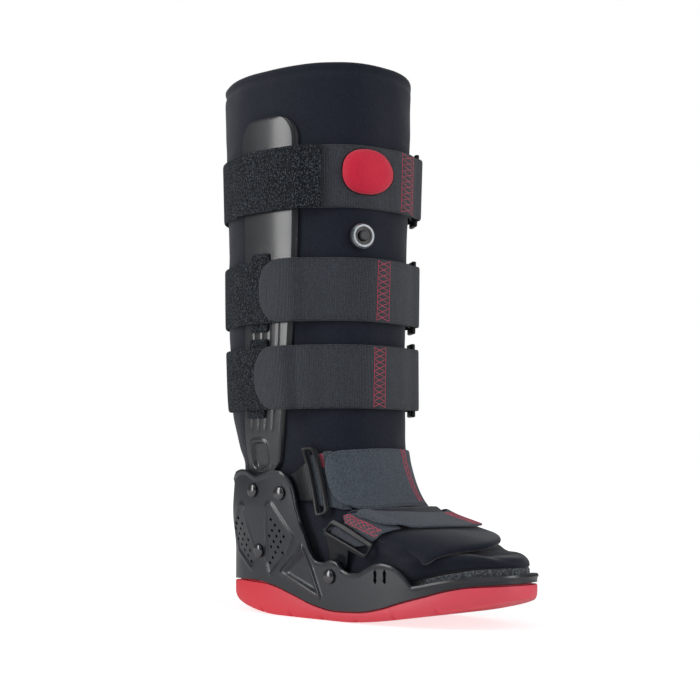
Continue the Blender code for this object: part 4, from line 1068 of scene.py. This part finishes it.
def strut_relief(point):
    """Flutes, edge bevel and the window's rim and recess."""
    rear, front = strut_span(point.z)
    forward, up = forward_of(point), point.z
    t = (forward - rear) / max(0.004, front - rear)
    edge = min(forward - rear, front - forward, STRUT_TOP - up)
    height = -STRUT_BEVEL * (1 - smooth_step(0.0, 0.0020, edge))
    low = smooth_step(0.143, 0.150, up) * (1 - smooth_step(0.225, 0.244, up))
    for line in (0.26, 0.43, 0.60, 0.77):
        height -= FLUTE_DEPTH * low * math.exp(-((t - line) * (front - rear) / 0.0012) ** 2)
    x = (forward - WINDOW_CENTRE[0] * SOLE_LENGTH) / (WINDOW_WIDTH / 2)
    z = (up - WINDOW_CENTRE[1]) / (WINDOW_HEIGHT / 2)
    ring = (abs(x) ** 3.2 + abs(z) ** 3.2) ** (1 / 3.2)
    return (height - WINDOW_DEPTH * (1 - smooth_step(0.74, 0.92, ring))
            + WINDOW_RIM * math.exp(-((ring - 1.04) / 0.09) ** 2))


def build_strut():
    ups = span(STRUT_FOOT, 0.106, 24)[:-1] + span(0.106, 0.146, 60)[:-1] + span(0.146, STRUT_TOP, 120)

    def place(i, j):
        rear, front = strut_span(ups[j])
        return over(around_at(rear + (front - rear) * i / 60, ups[j]), ups[j], WRAP_GAP)

    strut = sheet("strut_right", 61, len(ups), place, STRUT_THICKNESS, 1)
    relieve(strut, strut_relief)
    cut(strut, rivet_holes("strut_holes", list(STRUT_RIVETS.values())))
    finish_pair(strut, "strut", 0, 40)


build_strut()


def build_patches():
    """Pile patches on the struts that keep the straps from sliding, just longer than the straps are wide."""
    for level in ("middle", "lower"):
        centre = STRAP_HEIGHTS[level]
        reach = STRAP_WIDTH / 2 + PATCH_PROUD
        ups = span(centre - reach, centre + reach, 16)

        def place(i, j):
            rear, front = strut_span(ups[j])
            forward = (rear * 0.62 + front * 0.38) + (i / 6 - 0.5) * PATCH_WIDTH
            return over(around_at(forward, ups[j]), ups[j], WRAP_GAP + STRUT_THICKNESS + FIT)

        patch = sheet(f"patch_{level}_right", 7, 16, place, PATCH_THICKNESS, 1)
        settle(patch)
        finish_pair(patch, f"patch_{level}", 1)


build_patches()


# Leg straps: three loop-pile bands, 50 mm wide, run round the leg over the struts to a plastic ring each.
# Smooth webbing with red zigzag seams doubles back through each ring and fastens on the pile.

RING_WIRE = 0.0036
RING_SLOT = 0.0085
RING_HEADROOM = 0.0046
BAR_FIT = 0.0010
FOLD_LENGTHS = {"top": 0.042, "middle": 0.060, "lower": 0.060}
TIP_ROUNDING = 0.021
FINE_STEP = 2.1
WIDE_STEP = 5.5
SEAM_REACH = 0.0235
THREAD_RADIUS = 0.00021
RING_AROUND = -47.0
BAND_START = {"top": 50.0, "middle": 62.0, "lower": 62.0}
HOOK_START = {"top": 58.0, "middle": 88.0, "lower": 90.5}

web = Finish("webbing", 0.82, Sheen_Weight=0.25, Specular_IOR_Level=0.3)
along, across = web.across()
rib = along.wave(0.0013)
fleck = web.noise(1300, 4)
side = abs(across)
tone = fleck * 0.55 + rib * 0.16 + 0.22 - (side > 0.0232) * 0.20
seam = (abs(side - 0.0215) < 0.00035) * (along.wave(0.0042) > -0.2)
low_down = web.node("SeparateXYZ", None, {"Vector": web.node("TexCoord", output="Object")}, output=2) < 0.14
web.colour((fleck - 0.5) * (low_down * 1.6 + 1.2) + 0.22 + low_down * 0.45 - seam * 0.5 + (tone - 0.5) * 0.6,
           (0.024, 0.026, 0.033), (0.110, 0.136, 0.172))
web.bump(rib * 0.5 + fleck * 0.6 - seam * 0.8, 0.0003)
hard = Finish("ring_plastic", 0.34, Specular_IOR_Level=0.30)
hard.colour(hard.noise(30), (0.006, 0.007, 0.009), (0.013, 0.014, 0.018))
hard.rough(hard.noise(80) * 0.15 + 0.24)
hard.bump(hard.noise(500, 2), 0.00005)
cotton = Finish("red_thread", 0.6, Sheen_Weight=0.3)
cotton.colour(cotton.noise(1500), (0.62, 0.020, 0.070), (0.90, 0.140, 0.220))
cotton.bump(cotton.noise(2500), 0.0001)

OVER_STRUT = STRUT_THICKNESS + PATCH_THICKNESS + 2 * FIT + WRAP_GAP
OVER_BAND = BAND_THICKNESS + WRAP_GAP + FIT
RING_PLANE = RING_HEADROOM + RING_WIRE / 2
BAR_OFFSET = (RING_SLOT + RING_WIRE) / 2


def ribbon(name, stops, edges, thickness, rows=13):
    """A strap through stops of (around, slant, height of its middle, share of its width kept).

    A stop whose slant is a matrix is (distance, matrix, height, share) in that flat frame instead.
    """
    def place(i, j):
        around, slant, height, keep = stops[i]
        if isinstance(slant, Matrix):
            low, high = edges(0)
            return slant @ Vector((around, (high - low) * keep * (j / (rows - 1) - 0.5), height))
        low, high = edges(around)
        off = (high - low) * keep * (j / (rows - 1) - 0.5)
        up = (low + high) / 2 + off
        return over(around + slant * off * 1000, up, height)

    made = sheet(name, len(stops), rows, place, thickness, 0)
    made.modifiers["wall"].use_even_offset = False
    runs, middle = [0.0], [place(i, rows // 2) for i in range(len(stops))]
    for first, second in zip(middle, middle[1:]):
        runs.append(runs[-1] + (second - first).length)
    lay = made.data.attributes.new("strap", "FLOAT_VECTOR", "POINT")
    for k in range(len(made.data.vertices)):
        i, j = k % len(stops), k // len(stops)
        low, high = edges(0 if isinstance(stops[i][1], Matrix) else stops[i][0])
        lay.data[k].vector = (runs[i], (high - low) * stops[i][3] * (j / (rows - 1) - 0.5), 0)
    return made


def degrees_for(distance, around, up):
    """Degrees round the surface that cover a distance along it."""
    return distance / (skin(around + 0.5, up) - skin(around - 0.5, up)).length


def fill(path, step):
    """A path with points added so that none are further apart than the step."""
    filled = [path[0]]
    for (t0, n0), (t1, n1) in zip(path, path[1:]):
        parts = max(1, math.ceil(abs(t1 - t0) / step))
        filled += [(t0 + (t1 - t0) * k / parts, n0 + (n1 - n0) * k / parts) for k in range(1, parts + 1)]
    return filled


def ring_frame(level):
    """Flat frame of a ring: X along the strap towards the front, Y up, Z out of the liner."""
    centre = STRAP_HEIGHTS[level]
    frame = facing(skin(RING_AROUND, centre), outward(RING_AROUND, centre))
    ahead = skin(RING_AROUND + 1, centre) - skin(RING_AROUND, centre)
    side = 1 if frame.col[0].to_3d().dot(ahead) > 0 else -1
    return frame, side


def round_bar(level, side, thickness):
    """Half turn of a strap round a ring's bar, from above it, through the slot, to below it."""
    frame, ahead = ring_frame(level)
    radius = RING_WIRE / 2 + BAR_FIT + thickness / 2
    stops = [(0.0098, RING_PLANE + radius - 0.0003)]
    stops += [(BAR_OFFSET - radius * math.sin(turn), RING_PLANE + radius * math.cos(turn))
              for turn in [math.pi * k / 4 for k in range(5)]]
    return [(ahead * side * t, frame, height, 1) for t, height in stops]


def lattice(level):
    """Angles at which every strap of a level bends, closest where they climb onto the struts."""
    centre = STRAP_HEIGHTS[level]
    rear, front = strut_span(centre)
    fine = [(around_at(front + 0.014, centre), around_at(front - 0.004, centre)),
            (around_at(rear + 0.004, centre), around_at(rear - 0.014, centre))]
    fine += [(360 - high, 360 - low) for low, high in fine]
    found = [-20.0]
    while found[-1] < 312:
        bends = any(low <= found[-1] <= high for low, high in fine)
        found.append(found[-1] + (FINE_STEP if bends else WIDE_STEP))
    return found


def rounded(length, width):
    """Share of a strap's width kept at a distance from its rounded tip."""
    radius = TIP_ROUNDING
    if length >= radius:
        return 1.0
    return 1 - 2 * (radius - math.sqrt(radius ** 2 - (radius - length) ** 2)) / width


def build_band(level):
    """Pile band: from the front, round the right strut, the heel side and the left strut to the ring."""
    centre, middle = STRAP_HEIGHTS[level], BAND_THICKNESS / 2
    ring = 360 + RING_AROUND
    stops = []
    start = BAND_START[level]
    for around in [start] + [angle for angle in lattice(level) if start + 1 < angle < ring - 15]:
        lift = OVER_STRUT * cover(around, centre)
        if level == "top" and around < 90:
            lift = max(lift, STRAP_THICKNESS + WRAP_GAP)
        stops.append((around, 0, WRAP_GAP + middle + lift, 1))
    stops.append((ring + degrees_for(-0.0120, RING_AROUND, centre), 0, WRAP_GAP + middle, 1))
    stops += reversed(round_bar(level, -1, BAND_THICKNESS))
    for t, height in ((-0.0130, 0.0078), (-0.0165, 0.0066)):
        stops.append((ring + degrees_for(t, RING_AROUND, centre), 0, height, 1))
    return ribbon(f"band_{level}", stops,
                  lambda around: (centre - STRAP_WIDTH / 2, centre + STRAP_WIDTH / 2), BAND_THICKNESS)


def build_hook(level):
    """Smooth strap: from its end on the right, across the front, through the ring and back under itself."""
    centre, middle = STRAP_HEIGHTS[level], STRAP_THICKNESS / 2
    base, fold = WRAP_GAP + middle, FOLD_LENGTHS[level]
    above_tail = base + STRAP_THICKNESS + WRAP_GAP
    start = HOOK_START[level]
    climb = fill([(fold + 0.008, base), (fold + 0.001, above_tail), (0.018, above_tail + 0.0003)], 0.009)
    climb.append((0.0130, 0.0080))
    tail = fill([(0.013, base + 0.0002), (fold, base)], 0.010)
    last = RING_AROUND + degrees_for(climb[0][0], RING_AROUND, centre)

    def height(around):
        if level == "top":
            return base
        on_band = smooth_step(BAND_START[level] - 9, BAND_START[level] - 2, around)
        return base + OVER_STRUT * cover(around, centre) + OVER_BAND * on_band

    if level == "top":
        stops = [(start, 0, base, 1)]
        around = start
    else:
        stops = []
        for length in (0.0, 0.0015, 0.0045, 0.010, TIP_ROUNDING):
            around = start - degrees_for(length, start, centre)
            stops.append((around, 0, height(around), rounded(length, STRAP_WIDTH)))
    stops += [(angle, 0, height(angle), 1) for angle in reversed(lattice(level))
              if last + 3 < angle < around - 1.5]

    def along(path):
        return [(RING_AROUND + degrees_for(t, RING_AROUND, centre), 0, up, 1) for t, up in path]

    stops += along(climb) + round_bar(level, 1, STRAP_THICKNESS) + along(tail)
    name = "top_panel" if level == "top" else f"hook_{level}"
    return ribbon(name, stops,
                  lambda around: (centre - STRAP_WIDTH / 2, centre + STRAP_WIDTH / 2), STRAP_THICKNESS)


def thread(name, runs):
    """Sewing thread along runs of points, standing half out of the cloth."""
    curve = bpy.data.curves.new(name, "CURVE")
    curve.dimensions = "3D"
    curve.bevel_depth = THREAD_RADIUS
    curve.bevel_resolution = 1
    for run in runs:
        line = curve.splines.new("POLY")
        line.points.add(len(run) - 1)
        for point, at in zip(line.points, run):
            point.co = (*at, 1)
    made = bpy.data.objects.new(name, curve)
    bpy.context.scene.collection.objects.link(made)
    mesh = bpy.data.meshes.new_from_object(made)
    bpy.data.objects.remove(made)
    made = bpy.data.objects.new(name, mesh)
    bpy.context.scene.collection.objects.link(made)
    mesh.materials.append(cotton.material)
    mesh.shade_smooth()
    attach(made, "boot")
    return made


def zigzag(name, node, corners, lines=4, pitch=0.0046):
    """Red zigzag rows over a patch given by its four corners as (around, up), laid on a shown piece."""
    shown = bpy.data.objects[node + "_piece"]
    a, b, c, d = [Vector(corner) for corner in corners]
    runs = []
    tall = (skin(*b) - skin(*a)).length
    steps = max(4, int(tall / pitch))

    def at(s, t):
        spot = a.lerp(b, t).lerp(d.lerp(c, t), s)
        base, out = skin(*spot), outward(*spot)
        hit, place, normal, _ = shown.ray_cast(base + out * 0.03, -out)
        return place + normal * 0.00005 if hit else None

    for k in range(lines):
        low, high = k / lines, (k + 1) / lines
        for flip in (0, 1):
            run = []
            for step in range(5 * steps + 1):
                swing = abs((step / 5 + flip) % 2 - 1)
                run.append(at(low + (high - low) * swing, step / (5 * steps)))
            runs.append([p for p in run if p])
    for s in (0.0, 1.0):
        runs.append([p for p in [at(s, step / (3 * steps)) for step in range(3 * steps + 1)] if p])
    return thread(name, [run for run in runs if len(run) > 1])


SURFACE = {"top": "top_panel", "middle": "hook_middle", "lower": "hook_lower"}
for strap_level in STRAP_HEIGHTS:
    finish_piece(build_band(strap_level), f"band_{strap_level}", 2)
    finish_piece(build_hook(strap_level), SURFACE[strap_level], 2)


def build_ring(level):
    """Rectangular ring that joins the band and the hook strap."""
    place = ring_frame(level)[0] @ Matrix.Translation((0, 0, RING_PLANE))
    tall = STRAP_WIDTH + 2 * BAR_FIT + 0.0006
    sizes = ((RING_SLOT + 2 * RING_WIRE, tall + 2 * RING_WIRE, RING_WIRE), (RING_SLOT, tall, RING_WIRE * 2))
    made = []
    for size, whole in zip(sizes, (True, False)):
        bm = bmesh.new()
        bmesh.ops.create_cube(bm, size=1, matrix=place @ Matrix.Diagonal((*size, 1)))
        if whole:
            bmesh.ops.bevel(bm, geom=bm.edges, offset=0.0012, segments=4, profile=0.5, affect="EDGES",
                            material=-1)
        name = f"ring_{level}" if whole else f"ring_slot_{level}"
        made.append(object_from(name, mesh_from(name, bm)))
    cut(made[0], made[1])
    finish_piece(made[0], f"ring_{level}", angle=40)


for strap_level in STRAP_HEIGHTS:
    build_ring(strap_level)

for strap_level, (first, last) in {"top": (-24, -8), "middle": (0, 8), "lower": (1, 9)}.items():
    low, high = STRAP_HEIGHTS[strap_level] - SEAM_REACH, STRAP_HEIGHTS[strap_level] + SEAM_REACH
    zigzag(f"stitch_{strap_level}", SURFACE[strap_level],
           ((first, low), (first, high), (last, high), (last, low)), 1)


# Pump and valve: a red cloth-covered bulb bulges from an oval opening in the top strap. The release valve is
# set in the front of the liner: a silver ring with a black dish and a dark button.

BULB_WIDTH = 0.040
BULB_HEIGHT = 0.036
BULB_DOME = 0.0085
VALVE_RADIUS = 0.010
VALVE_BEVEL = 0.0012
VALVE_HEIGHT = 0.0042
BUTTON_RADIUS = 0.0042
BUTTON_STROKE = 0.002
BUTTON_PROUD = 0.0062
BULB_PLACE = (17.2, 0.347)
VALVE_PLACE = (19.6, 0.2965)

red = Finish("bulb_red", 0.62, Sheen_Weight=0.25, Specular_IOR_Level=0.3)
red.colour(red.noise(900, 4), (0.66, 0.004, 0.032), (0.88, 0.022, 0.075))
red.bump(red.noise(1700, 3) + red.noise(300), 0.00022)
silver = Finish("valve_metal", 0.28)
dish = silver.node("VectorMath", {"operation": "DISTANCE"},
                   {0: silver.node("TexCoord", output="Object"),
                    1: over(*VALVE_PLACE, WRAP_GAP + VALVE_HEIGHT)}, output=1) > 0.74 * VALVE_RADIUS
silver.colour(dish * (silver.noise(200) * 0.4 + 0.6), (0.004, 0.004, 0.005), (0.30, 0.32, 0.35))
silver.tree.links.new((dish * 0.85).socket, silver.shader.inputs["Metallic"])
silver.rough(silver.noise(300) * 0.15 + 0.22)
grey = Finish("button_grey", 0.4)
grey.colour(grey.noise(400), (0.018, 0.020, 0.024), (0.035, 0.038, 0.044))
grey.bump(grey.noise(900), 0.00005)
steel = Finish("rivet_steel", 0.2, 0.9, Coat_Weight=0.3)
steel.colour(steel.noise(300), (0.08, 0.08, 0.085), (0.16, 0.16, 0.17))
steel.rough(steel.noise(400) * 0.15 + 0.14)


def turned(name, profile, steps, place):
    """A profile of (radius, height), from its top down its outer side, turned about its own Z."""
    bm = bmesh.new()
    verts = [bm.verts.new((radius, 0, height)) for radius, height in profile]
    for first, second in zip(verts, verts[1:]):
        bm.edges.new((first, second))
    made = object_from(name, mesh_from(name, bm))
    made.matrix_world = place
    spin = made.modifiers.new("turn", "SCREW")
    spin.steps = spin.render_steps = steps
    spin.use_merge_vertices = True
    spin.merge_threshold = 0.00001
    spin.use_smooth_shade = True
    return made


def oval(scale, height, count=18):
    """Loop of points round the bulb's place, at a height above the liner."""
    around, up = BULB_PLACE
    loop = []
    for k in range(count):
        turn = 2 * math.pi * k / count
        x = power(math.cos(turn), 0.85) * BULB_WIDTH / 2 * scale
        z = power(math.sin(turn), 0.85) * BULB_HEIGHT / 2 * scale
        loop.append(over(around + degrees_for(x, around, up), up + z, height))
    return loop


def build_valve():
    """Metal ring on the front of the liner, and the sprung button in it."""
    around, up = VALVE_PLACE
    place = facing(skin(around, up), outward(around, up))
    floor, guide, bore = WRAP_GAP + 0.0008, BUTTON_RADIUS + GAP, BUTTON_RADIUS + 0.0018
    top = WRAP_GAP + VALVE_HEIGHT
    collar = floor + BUTTON_STROKE + 3 * GAP
    turned("valve_ring",
           [(0, floor), (guide, floor), (guide, collar), (bore, collar), (bore, top),
            (VALVE_RADIUS - VALVE_BEVEL, top), (VALVE_RADIUS, top - VALVE_BEVEL),
            (VALVE_RADIUS, WRAP_GAP), (0, WRAP_GAP)], 64, place)
    low = floor + BUTTON_STROKE + GAP
    turned("valve_button",
           [(0, BUTTON_PROUD + 0.0012), (BUTTON_RADIUS - 0.0008, BUTTON_PROUD + 0.0012),
            (BUTTON_RADIUS, BUTTON_PROUD + 0.0004), (BUTTON_RADIUS, low), (0, low)], 48, place)


top_panel = bpy.data.objects["top_panel_piece"]
bm = bmesh.new()
prism(bm, oval(1.02, 0.0, 72), oval(1.02, 0.008, 72))
bmesh.ops.recalc_face_normals(bm, faces=bm.faces)
cut(top_panel, object_from("bulb_opening", mesh_from("bulb_opening", bm)))
top_panel.data.shade_smooth()
top_panel.data.set_sharp_from_angle(angle=math.radians(40))
top = WRAP_GAP + STRAP_THICKNESS
profile = [(0.97, WRAP_GAP), (0.985, top)]
profile += [(0.99 * math.cos(math.radians(turn)) ** 0.8, top + BULB_DOME * math.sin(math.radians(turn)))
            for turn in span(12, 86, 14)]
bulb = loft("pump_bulb", [oval(scale, height, 72) for scale, height in profile])
finish_piece(bulb, "pump_bulb")
build_valve()
finish_piece(bpy.data.objects["valve_ring_piece"], "valve_ring", angle=35)
finish_piece(bpy.data.objects["valve_button_piece"], "valve_button", angle=35, body="valve_button")


# Brackets and rivets: black plastic frames with a long slot each, on arms that are riveted inside the shell.
# The rivets are dark polished steel with domed heads, and their shanks go through the shell's wall.

BRACKET_THICKNESS = 0.0026
BRACKET_LIFT = 0.0034
ARM_REACH = 0.0075
SLOT_HALF = 0.0020
BRACKETS = {
    "ankle": {"near": ((0.440, 0.0770), (0.385, 0.1325)), "far": ((0.482, 0.0805), (0.428, 0.1325)),
              "slot": ((0.10, 0.90), (0.30, 0.66)), "arm": (0.22, 0.80)},
    "forefoot": {"near": ((0.462, 0.0655), (0.612, 0.0485)), "far": ((0.498, 0.0765), (0.645, 0.0585)),
                 "slot": ((0.10, 0.90), (0.32, 0.70)), "arm": (0.08, 0.62)},
}


def on_frame(kind, along, across):
    """Place on a bracket's frame as (share of the sole's length, up)."""
    (n0, n1), (f0, f1) = BRACKETS[kind]["near"], BRACKETS[kind]["far"]
    near = [n0[k] + (n1[k] - n0[k]) * along for k in (0, 1)]
    far = [f0[k] + (f1[k] - f0[k]) * along for k in (0, 1)]
    return [near[k] + (far[k] - near[k]) * across for k in (0, 1)]


def turn_out(bm, made):
    """Turns a sheet's faces towards the wearer's right and writes them to its mesh."""
    if sum((face.normal for face in bm.faces), Vector()).x > 0:
        bmesh.ops.reverse_faces(bm, faces=bm.faces)
    bm.to_mesh(made.data)
    bm.free()


def build_bracket(kind, rivet):
    """Slotted frame beside the shell's edge, on an arm that runs inside the shell to its rivet."""
    table = BRACKETS[kind]
    (along0, along1), (across0, across1) = table["slot"]
    alongs = [0, along0 / 2, *span(along0, along1, 12), (1 + along1) / 2, 1]
    acrosses = [0, across0 / 2, across0, across1, (1 + across1) / 2, 1]

    def corner(along, across):
        return on_frame(kind, along, across)

    def lay(share, up, lift):
        return over(around_at(share * SOLE_LENGTH, up), up, lift)

    def place(i, j):
        trim = 0.03 if i in (0, len(alongs) - 1) and j in (0, 5) else 0
        along = alongs[i] + (trim if i == 0 else -trim)
        return lay(*corner(along, acrosses[j]), BRACKET_LIFT)

    frame = sheet(f"{kind}_bracket_right", len(alongs), 6, place, BRACKET_THICKNESS, 1)
    bm = bmesh.new()
    bm.from_mesh(frame.data)
    middle = [lay(*corner(along, (across0 + across1) / 2), BRACKET_LIFT)
              for along in span(along0, along1, 23)]
    slot = [face for face in bm.faces
            if min((face.calc_center_median() - point).length for point in middle) < SLOT_HALF]
    bmesh.ops.delete(bm, geom=slot, context="FACES")
    turn_out(bm, frame)

    share, up = rivet[0], rivet[1] * SHELL_HEIGHT
    reach = ARM_REACH / SOLE_LENGTH
    ends = [(share - reach * 0.9, up - ARM_REACH), (share - reach * 0.9, up + ARM_REACH)]
    if kind == "forefoot":
        ends = [(share - reach, up - ARM_REACH * 0.7), (share + reach, up - ARM_REACH * 0.7)]
    from_a, from_b = [corner(along, across0 * 0.5) for along in table["arm"]]
    lifts = [(0, 0.0010), (0.35, 0.0010), (0.62, 0.0013), (0.85, 0.0028), (1, BRACKET_LIFT + 0.0001)]

    def arm(i, j):
        t, w = i / 16, j / 8
        start = [ends[0][k] + (ends[1][k] - ends[0][k]) * w for k in (0, 1)]
        stop = [from_a[k] + (from_b[k] - from_a[k]) * w for k in (0, 1)]
        bow = 0.16 * math.sin(math.pi * t) * (w - 0.5)
        x = start[0] + (stop[0] - start[0]) * t - bow * (stop[0] - start[0]) * 0.5
        z = start[1] + (stop[1] - start[1]) * t - bow * abs(stop[1] - start[1]) * 0.5
        return lay(x, z, between(lifts, 1, t))

    piece = sheet(f"{kind}_arm", 17, 9, arm, BRACKET_THICKNESS - 0.0002, 1)
    bm = bmesh.new()
    bm.from_mesh(piece.data)
    turn_out(bm, piece)
    for half in (frame, piece):
        soften = half.modifiers.new("soften", "SUBSURF")
        soften.levels = soften.render_levels = 2
        settle(half)
    join(frame, piece)
    finish_pair(frame, f"{kind}_bracket")


def build_rivet(name, place_of):
    share, up = place_of[0], place_of[1] * SHELL_HEIGHT
    point, out = on_shell(share, up)
    head = 2 * FIT
    dome = [(RIVET_HEAD * math.sin(turn), head + RIVET_DOME * math.cos(turn) ** 0.8)
            for turn in span(0.2, math.pi / 2, 9)]
    shank = [(RIVET_SHANK, head), (RIVET_SHANK, -RIVET_DEPTH), (0, -RIVET_DEPTH)]
    profile = [(0, head + RIVET_DOME), *dome, *shank]
    rivet = turned(f"rivet_{name}_right", profile, 40, facing(point, out))
    settle(rivet)
    rivet.data.transform(rivet.matrix_world)
    rivet.matrix_world = Matrix.Identity(4)
    finish_pair(rivet, f"rivet_{name}", 0, 30)


build_bracket("ankle", ANKLE_RIVET)
build_bracket("forefoot", FOREFOOT_RIVET)
for rivet_name, rivet_place in {"strut_upper": STRUT_RIVETS["upper"], "strut_lower": STRUT_RIVETS["lower"],
                                "ankle": ANKLE_RIVET, "forefoot": FOREFOOT_RIVET}.items():
    build_rivet(rivet_name, rivet_place)


# Foot straps: flat grey-blue straps with rounded ends across the ankle and forefoot. They lie on short tabs
# from under the right brackets, and red zigzags show where the cloth is sewn.

ANKLE_EDGES = ((0, 0.0850, 0.1310), (20, 0.0838, 0.1302), (43, 0.0830, 0.1292), (58, 0.0834, 0.1285),
               (70, 0.0850, 0.1270))
FOREFOOT_EDGES = ((0, 0.0638, 0.0726), (25, 0.0640, 0.0745), (45, 0.0640, 0.0766), (57, 0.0628, 0.0765),
                  (67, 0.0605, 0.0735), (78, 0.0560, 0.0698))
FLAP_CLEARANCE = 0.0012
FOOT_STRAP_TIPS = {"ankle": 57.5, "forefoot": 54.5}
TAB_ENDS = {"ankle": 48.0, "forefoot": 46.0}


def foot_edges(kind):
    table = ANKLE_EDGES if kind == "ankle" else FOREFOOT_EDGES
    return lambda around: (between(table, 1, abs(around)), between(table, 2, abs(around)))


def under_frame(kind, side):
    """Stops where a strap runs in under a bracket's frame, across its slot."""
    across0, across1 = BRACKETS[kind]["slot"][1]
    base = WRAP_GAP + STRAP_THICKNESS / 2
    stops = []
    for across in (1.15, across1, across0 - 0.12):
        edge = [on_frame(kind, along, across) for along in (0.2, 0.8)]
        turns = [around_at(share * SOLE_LENGTH, up) for share, up in edge]
        slant = (turns[1] - turns[0]) / ((edge[1][1] - edge[0][1]) * 1000)
        low, high = foot_edges(kind)(sum(turns) / 2)
        line = sum(turns) / 2 + slant * ((low + high) / 2 - (edge[0][1] + edge[1][1]) / 2) * 1000
        stops.append((side * line, side * slant, base, 0.94))
    return stops


def height_along(stops, around):
    """Height of a strap's middle at an angle, between its stops before it folds back."""
    ordered = []
    for stop in stops:
        if ordered and stop[0] <= ordered[-1][0]:
            break
        ordered.append(stop)
    return between([(stop[0], stop[2]) for stop in ordered], 1, around)


def build_foot_strap(kind):
    """Strap across the foot from its rounded end on the right to the left bracket, and the tab it lies on."""
    edges = foot_edges(kind)
    base = WRAP_GAP + STRAP_THICKNESS / 2
    low_side = base if kind == "ankle" else base + FLAP_GAP + FLAP_THICKNESS + FLAP_CLEARANCE
    tab_end, tip = TAB_ENDS[kind], FOOT_STRAP_TIPS[kind]
    inward = under_frame(kind, 1)
    flap_end = min(FLAP_EDGES[-1][0] + 1, inward[0][0] - 3)
    tab = [(tab_end, 0, low_side, 1)]
    tab += [(around, 0, low_side, 1) for around in span(tab_end, flap_end, 6)[1:]]
    tab += inward
    ribbon(f"{kind}_tab", tab, edges, STRAP_THICKNESS)
    stops = []
    lengths = (0, 0.0015, 0.004, 0.008, 0.014 if kind == "ankle" else 0.013)
    step = STRAP_THICKNESS + WRAP_GAP + 2 * FIT

    def height(around):
        on_tab = smooth_step(tab_end - 6, tab_end - 1, around)
        return low_side + (height_along(tab, max(around, tab_end)) + step - low_side) * on_tab

    for length in lengths:
        around = tip - degrees_for(length, tip, sum(edges(tip)) / 2)
        keep = math.sqrt(1 - (1 - length / lengths[-1]) ** 2.2) * 0.72 + 0.28
        stops.append((around, 0, height(around), keep))
    while around > tab_end - 3.5:
        around -= 3
        stops.append((around, 0, height(around), 1))
    around -= 4.5
    far = under_frame(kind, -1)
    if kind == "forefoot":
        far.insert(0, (-flap_end, 0, low_side, 1))
    while around > far[0][0] + 3:
        stops.append((around, 0, low_side, 1))
        around -= 6.5
    ribbon(f"{kind}_strap", stops + far, edges, STRAP_THICKNESS)


build_foot_strap("ankle")
build_foot_strap("forefoot")
for node in ("ankle_tab", "ankle_strap", "forefoot_tab", "forefoot_strap"):
    finish_piece(bpy.data.objects[node + "_piece"], node, 2)
FOOT_SEAMS = (
    # name, strap it lies on, corners, rows
    ("ankle_far", "ankle_strap", ((-19, 0.088), (-17, 0.130), (-11, 0.130), (-13, 0.088)), 1),
    ("ankle_near", "ankle_tab", ((60.5, 0.116), (59.5, 0.128), (57.0, 0.128), (58.5, 0.116)), 1),
    ("forefoot_near", "forefoot_tab", ((57.6, 0.0635), (55.6, 0.0770), (63.4, 0.0745), (64.0, 0.0612)), 2),
    ("forefoot_far", "forefoot_strap", ((-20, 0.0640), (-20, 0.0722), (-6, 0.0722), (-6, 0.0642)), 2),
)
for seam_name, seam_node, seam_corners, seam_rows in FOOT_SEAMS:
    zigzag(f"stitch_{seam_name}", seam_node, seam_corners, seam_rows)
